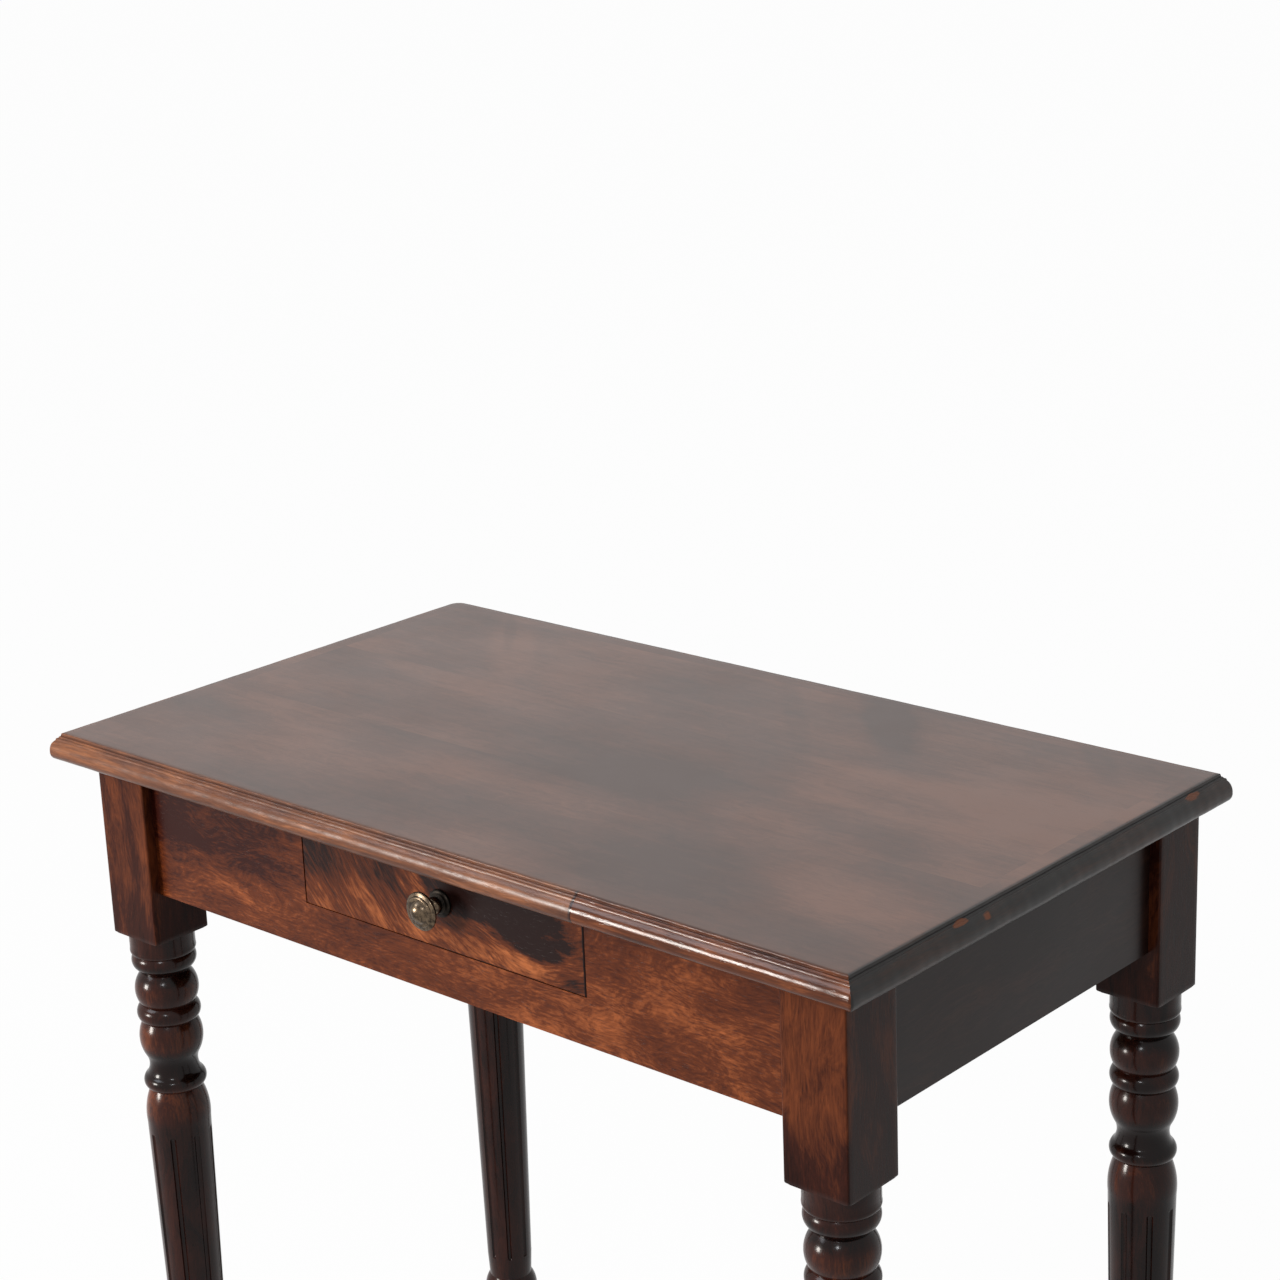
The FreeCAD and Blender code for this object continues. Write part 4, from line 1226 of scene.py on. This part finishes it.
class Studio:
    """The floor, lamps, surroundings and camera."""

    LAMPS = (
        Lamp("key", (-1.88, -2.93, 1.14), (0.0, -0.1, 0.68), 0.72, 105.0, (1.0, 0.96, 0.90)),
        Lamp("window", (-1.80, -1.98, 2.93), (0.0, -0.1, 0.68), 1.3, 45.0, (0.86, 0.92, 1.0)),
        Lamp("softbox", (1.08, -2.10, 2.15), (0.0, -0.1, 0.6), 0.30, 13.0, (0.94, 0.97, 1.0)),
    )

    FLOOR_REACH = 60.0
    FLOOR_GLOW = 0.975
    DIM, WHITE = 0.15, 1.0
    FOCAL_LENGTH, SENSOR, FARTHEST = 77.791, 36.0, 500.0

    def floor(self) -> None:
        """A wide floor that looks white and keeps a trace of the desk's shadow."""
        graph = Graph(bpy.data.materials.new("floor_white"))
        matte = graph.node("ShaderNodeBsdfDiffuse", inputs={"Color": (0.8, 0.8, 0.8, 1.0)})
        glow = graph.node("ShaderNodeEmission", inputs={"Color": (1.0, 1.0, 1.0, 1.0), "Strength": 1.0})
        mixed = graph.node("ShaderNodeMixShader", inputs={0: graph.seen * self.FLOOR_GLOW, 1: matte, 2: glow})
        mesh = bpy.data.meshes.new("floor")
        corners = [(x * self.FLOOR_REACH, y * self.FLOOR_REACH, 0) for x, y in ((-1, -1), (1, -1), (1, 1), (-1, 1))]
        mesh.from_pydata(corners, [], [(0, 1, 2, 3)])
        mesh.materials.append(graph.ended(mixed))
        floor = bpy.data.objects.new("floor", mesh)
        bpy.context.scene.collection.objects.link(floor)

    def world(self) -> None:
        """Surroundings that look white and light the desk gently."""
        world = bpy.data.worlds.new("studio")
        bpy.context.scene.world = world
        graph = Graph(world)
        dim, white = (
            graph.node("ShaderNodeBackground", inputs={"Color": (1.0, 1.0, 1.0, 1.0), "Strength": strength})
            for strength in (self.DIM, self.WHITE)
        )
        mixed = graph.node("ShaderNodeMixShader", inputs={0: graph.seen, 1: dim, 2: white})
        graph.node("ShaderNodeOutputWorld", inputs={"Surface": mixed})

    def camera(self) -> None:
        """The camera, placed as fitted to the photograph."""
        data = bpy.data.cameras.new("camera")
        data.lens, data.sensor_width, data.clip_end = self.FOCAL_LENGTH, self.SENSOR, self.FARTHEST
        camera = bpy.data.objects.new("camera", data)
        bpy.context.scene.collection.objects.link(camera)
        right = Vector((0.74887, 0.66162, -0.038102))
        up = Vector((-0.16835, 0.245528, 0.954659))
        back = Vector((0.640977, -0.708502, 0.295253))
        place = Vector((1.346972, -1.455475, 1.471364))
        camera.matrix_world = Matrix.Translation(place) @ Matrix((right, up, back)).transposed().to_4x4()
        bpy.context.scene.camera = camera

    def build(self) -> None:
        """Sets everything up."""
        bpy.context.scene.view_settings.view_transform = "Standard"
        self.camera()
        self.world()
        self.floor()
        for lamp in self.LAMPS:
            lamp.build()


def main() -> None:
    """Builds the studio and the desk."""
    logging.basicConfig(level=logging.INFO, format="%(message)s")
    Studio().build()
    Desk().build()


if __name__ == "__main__":
    main()
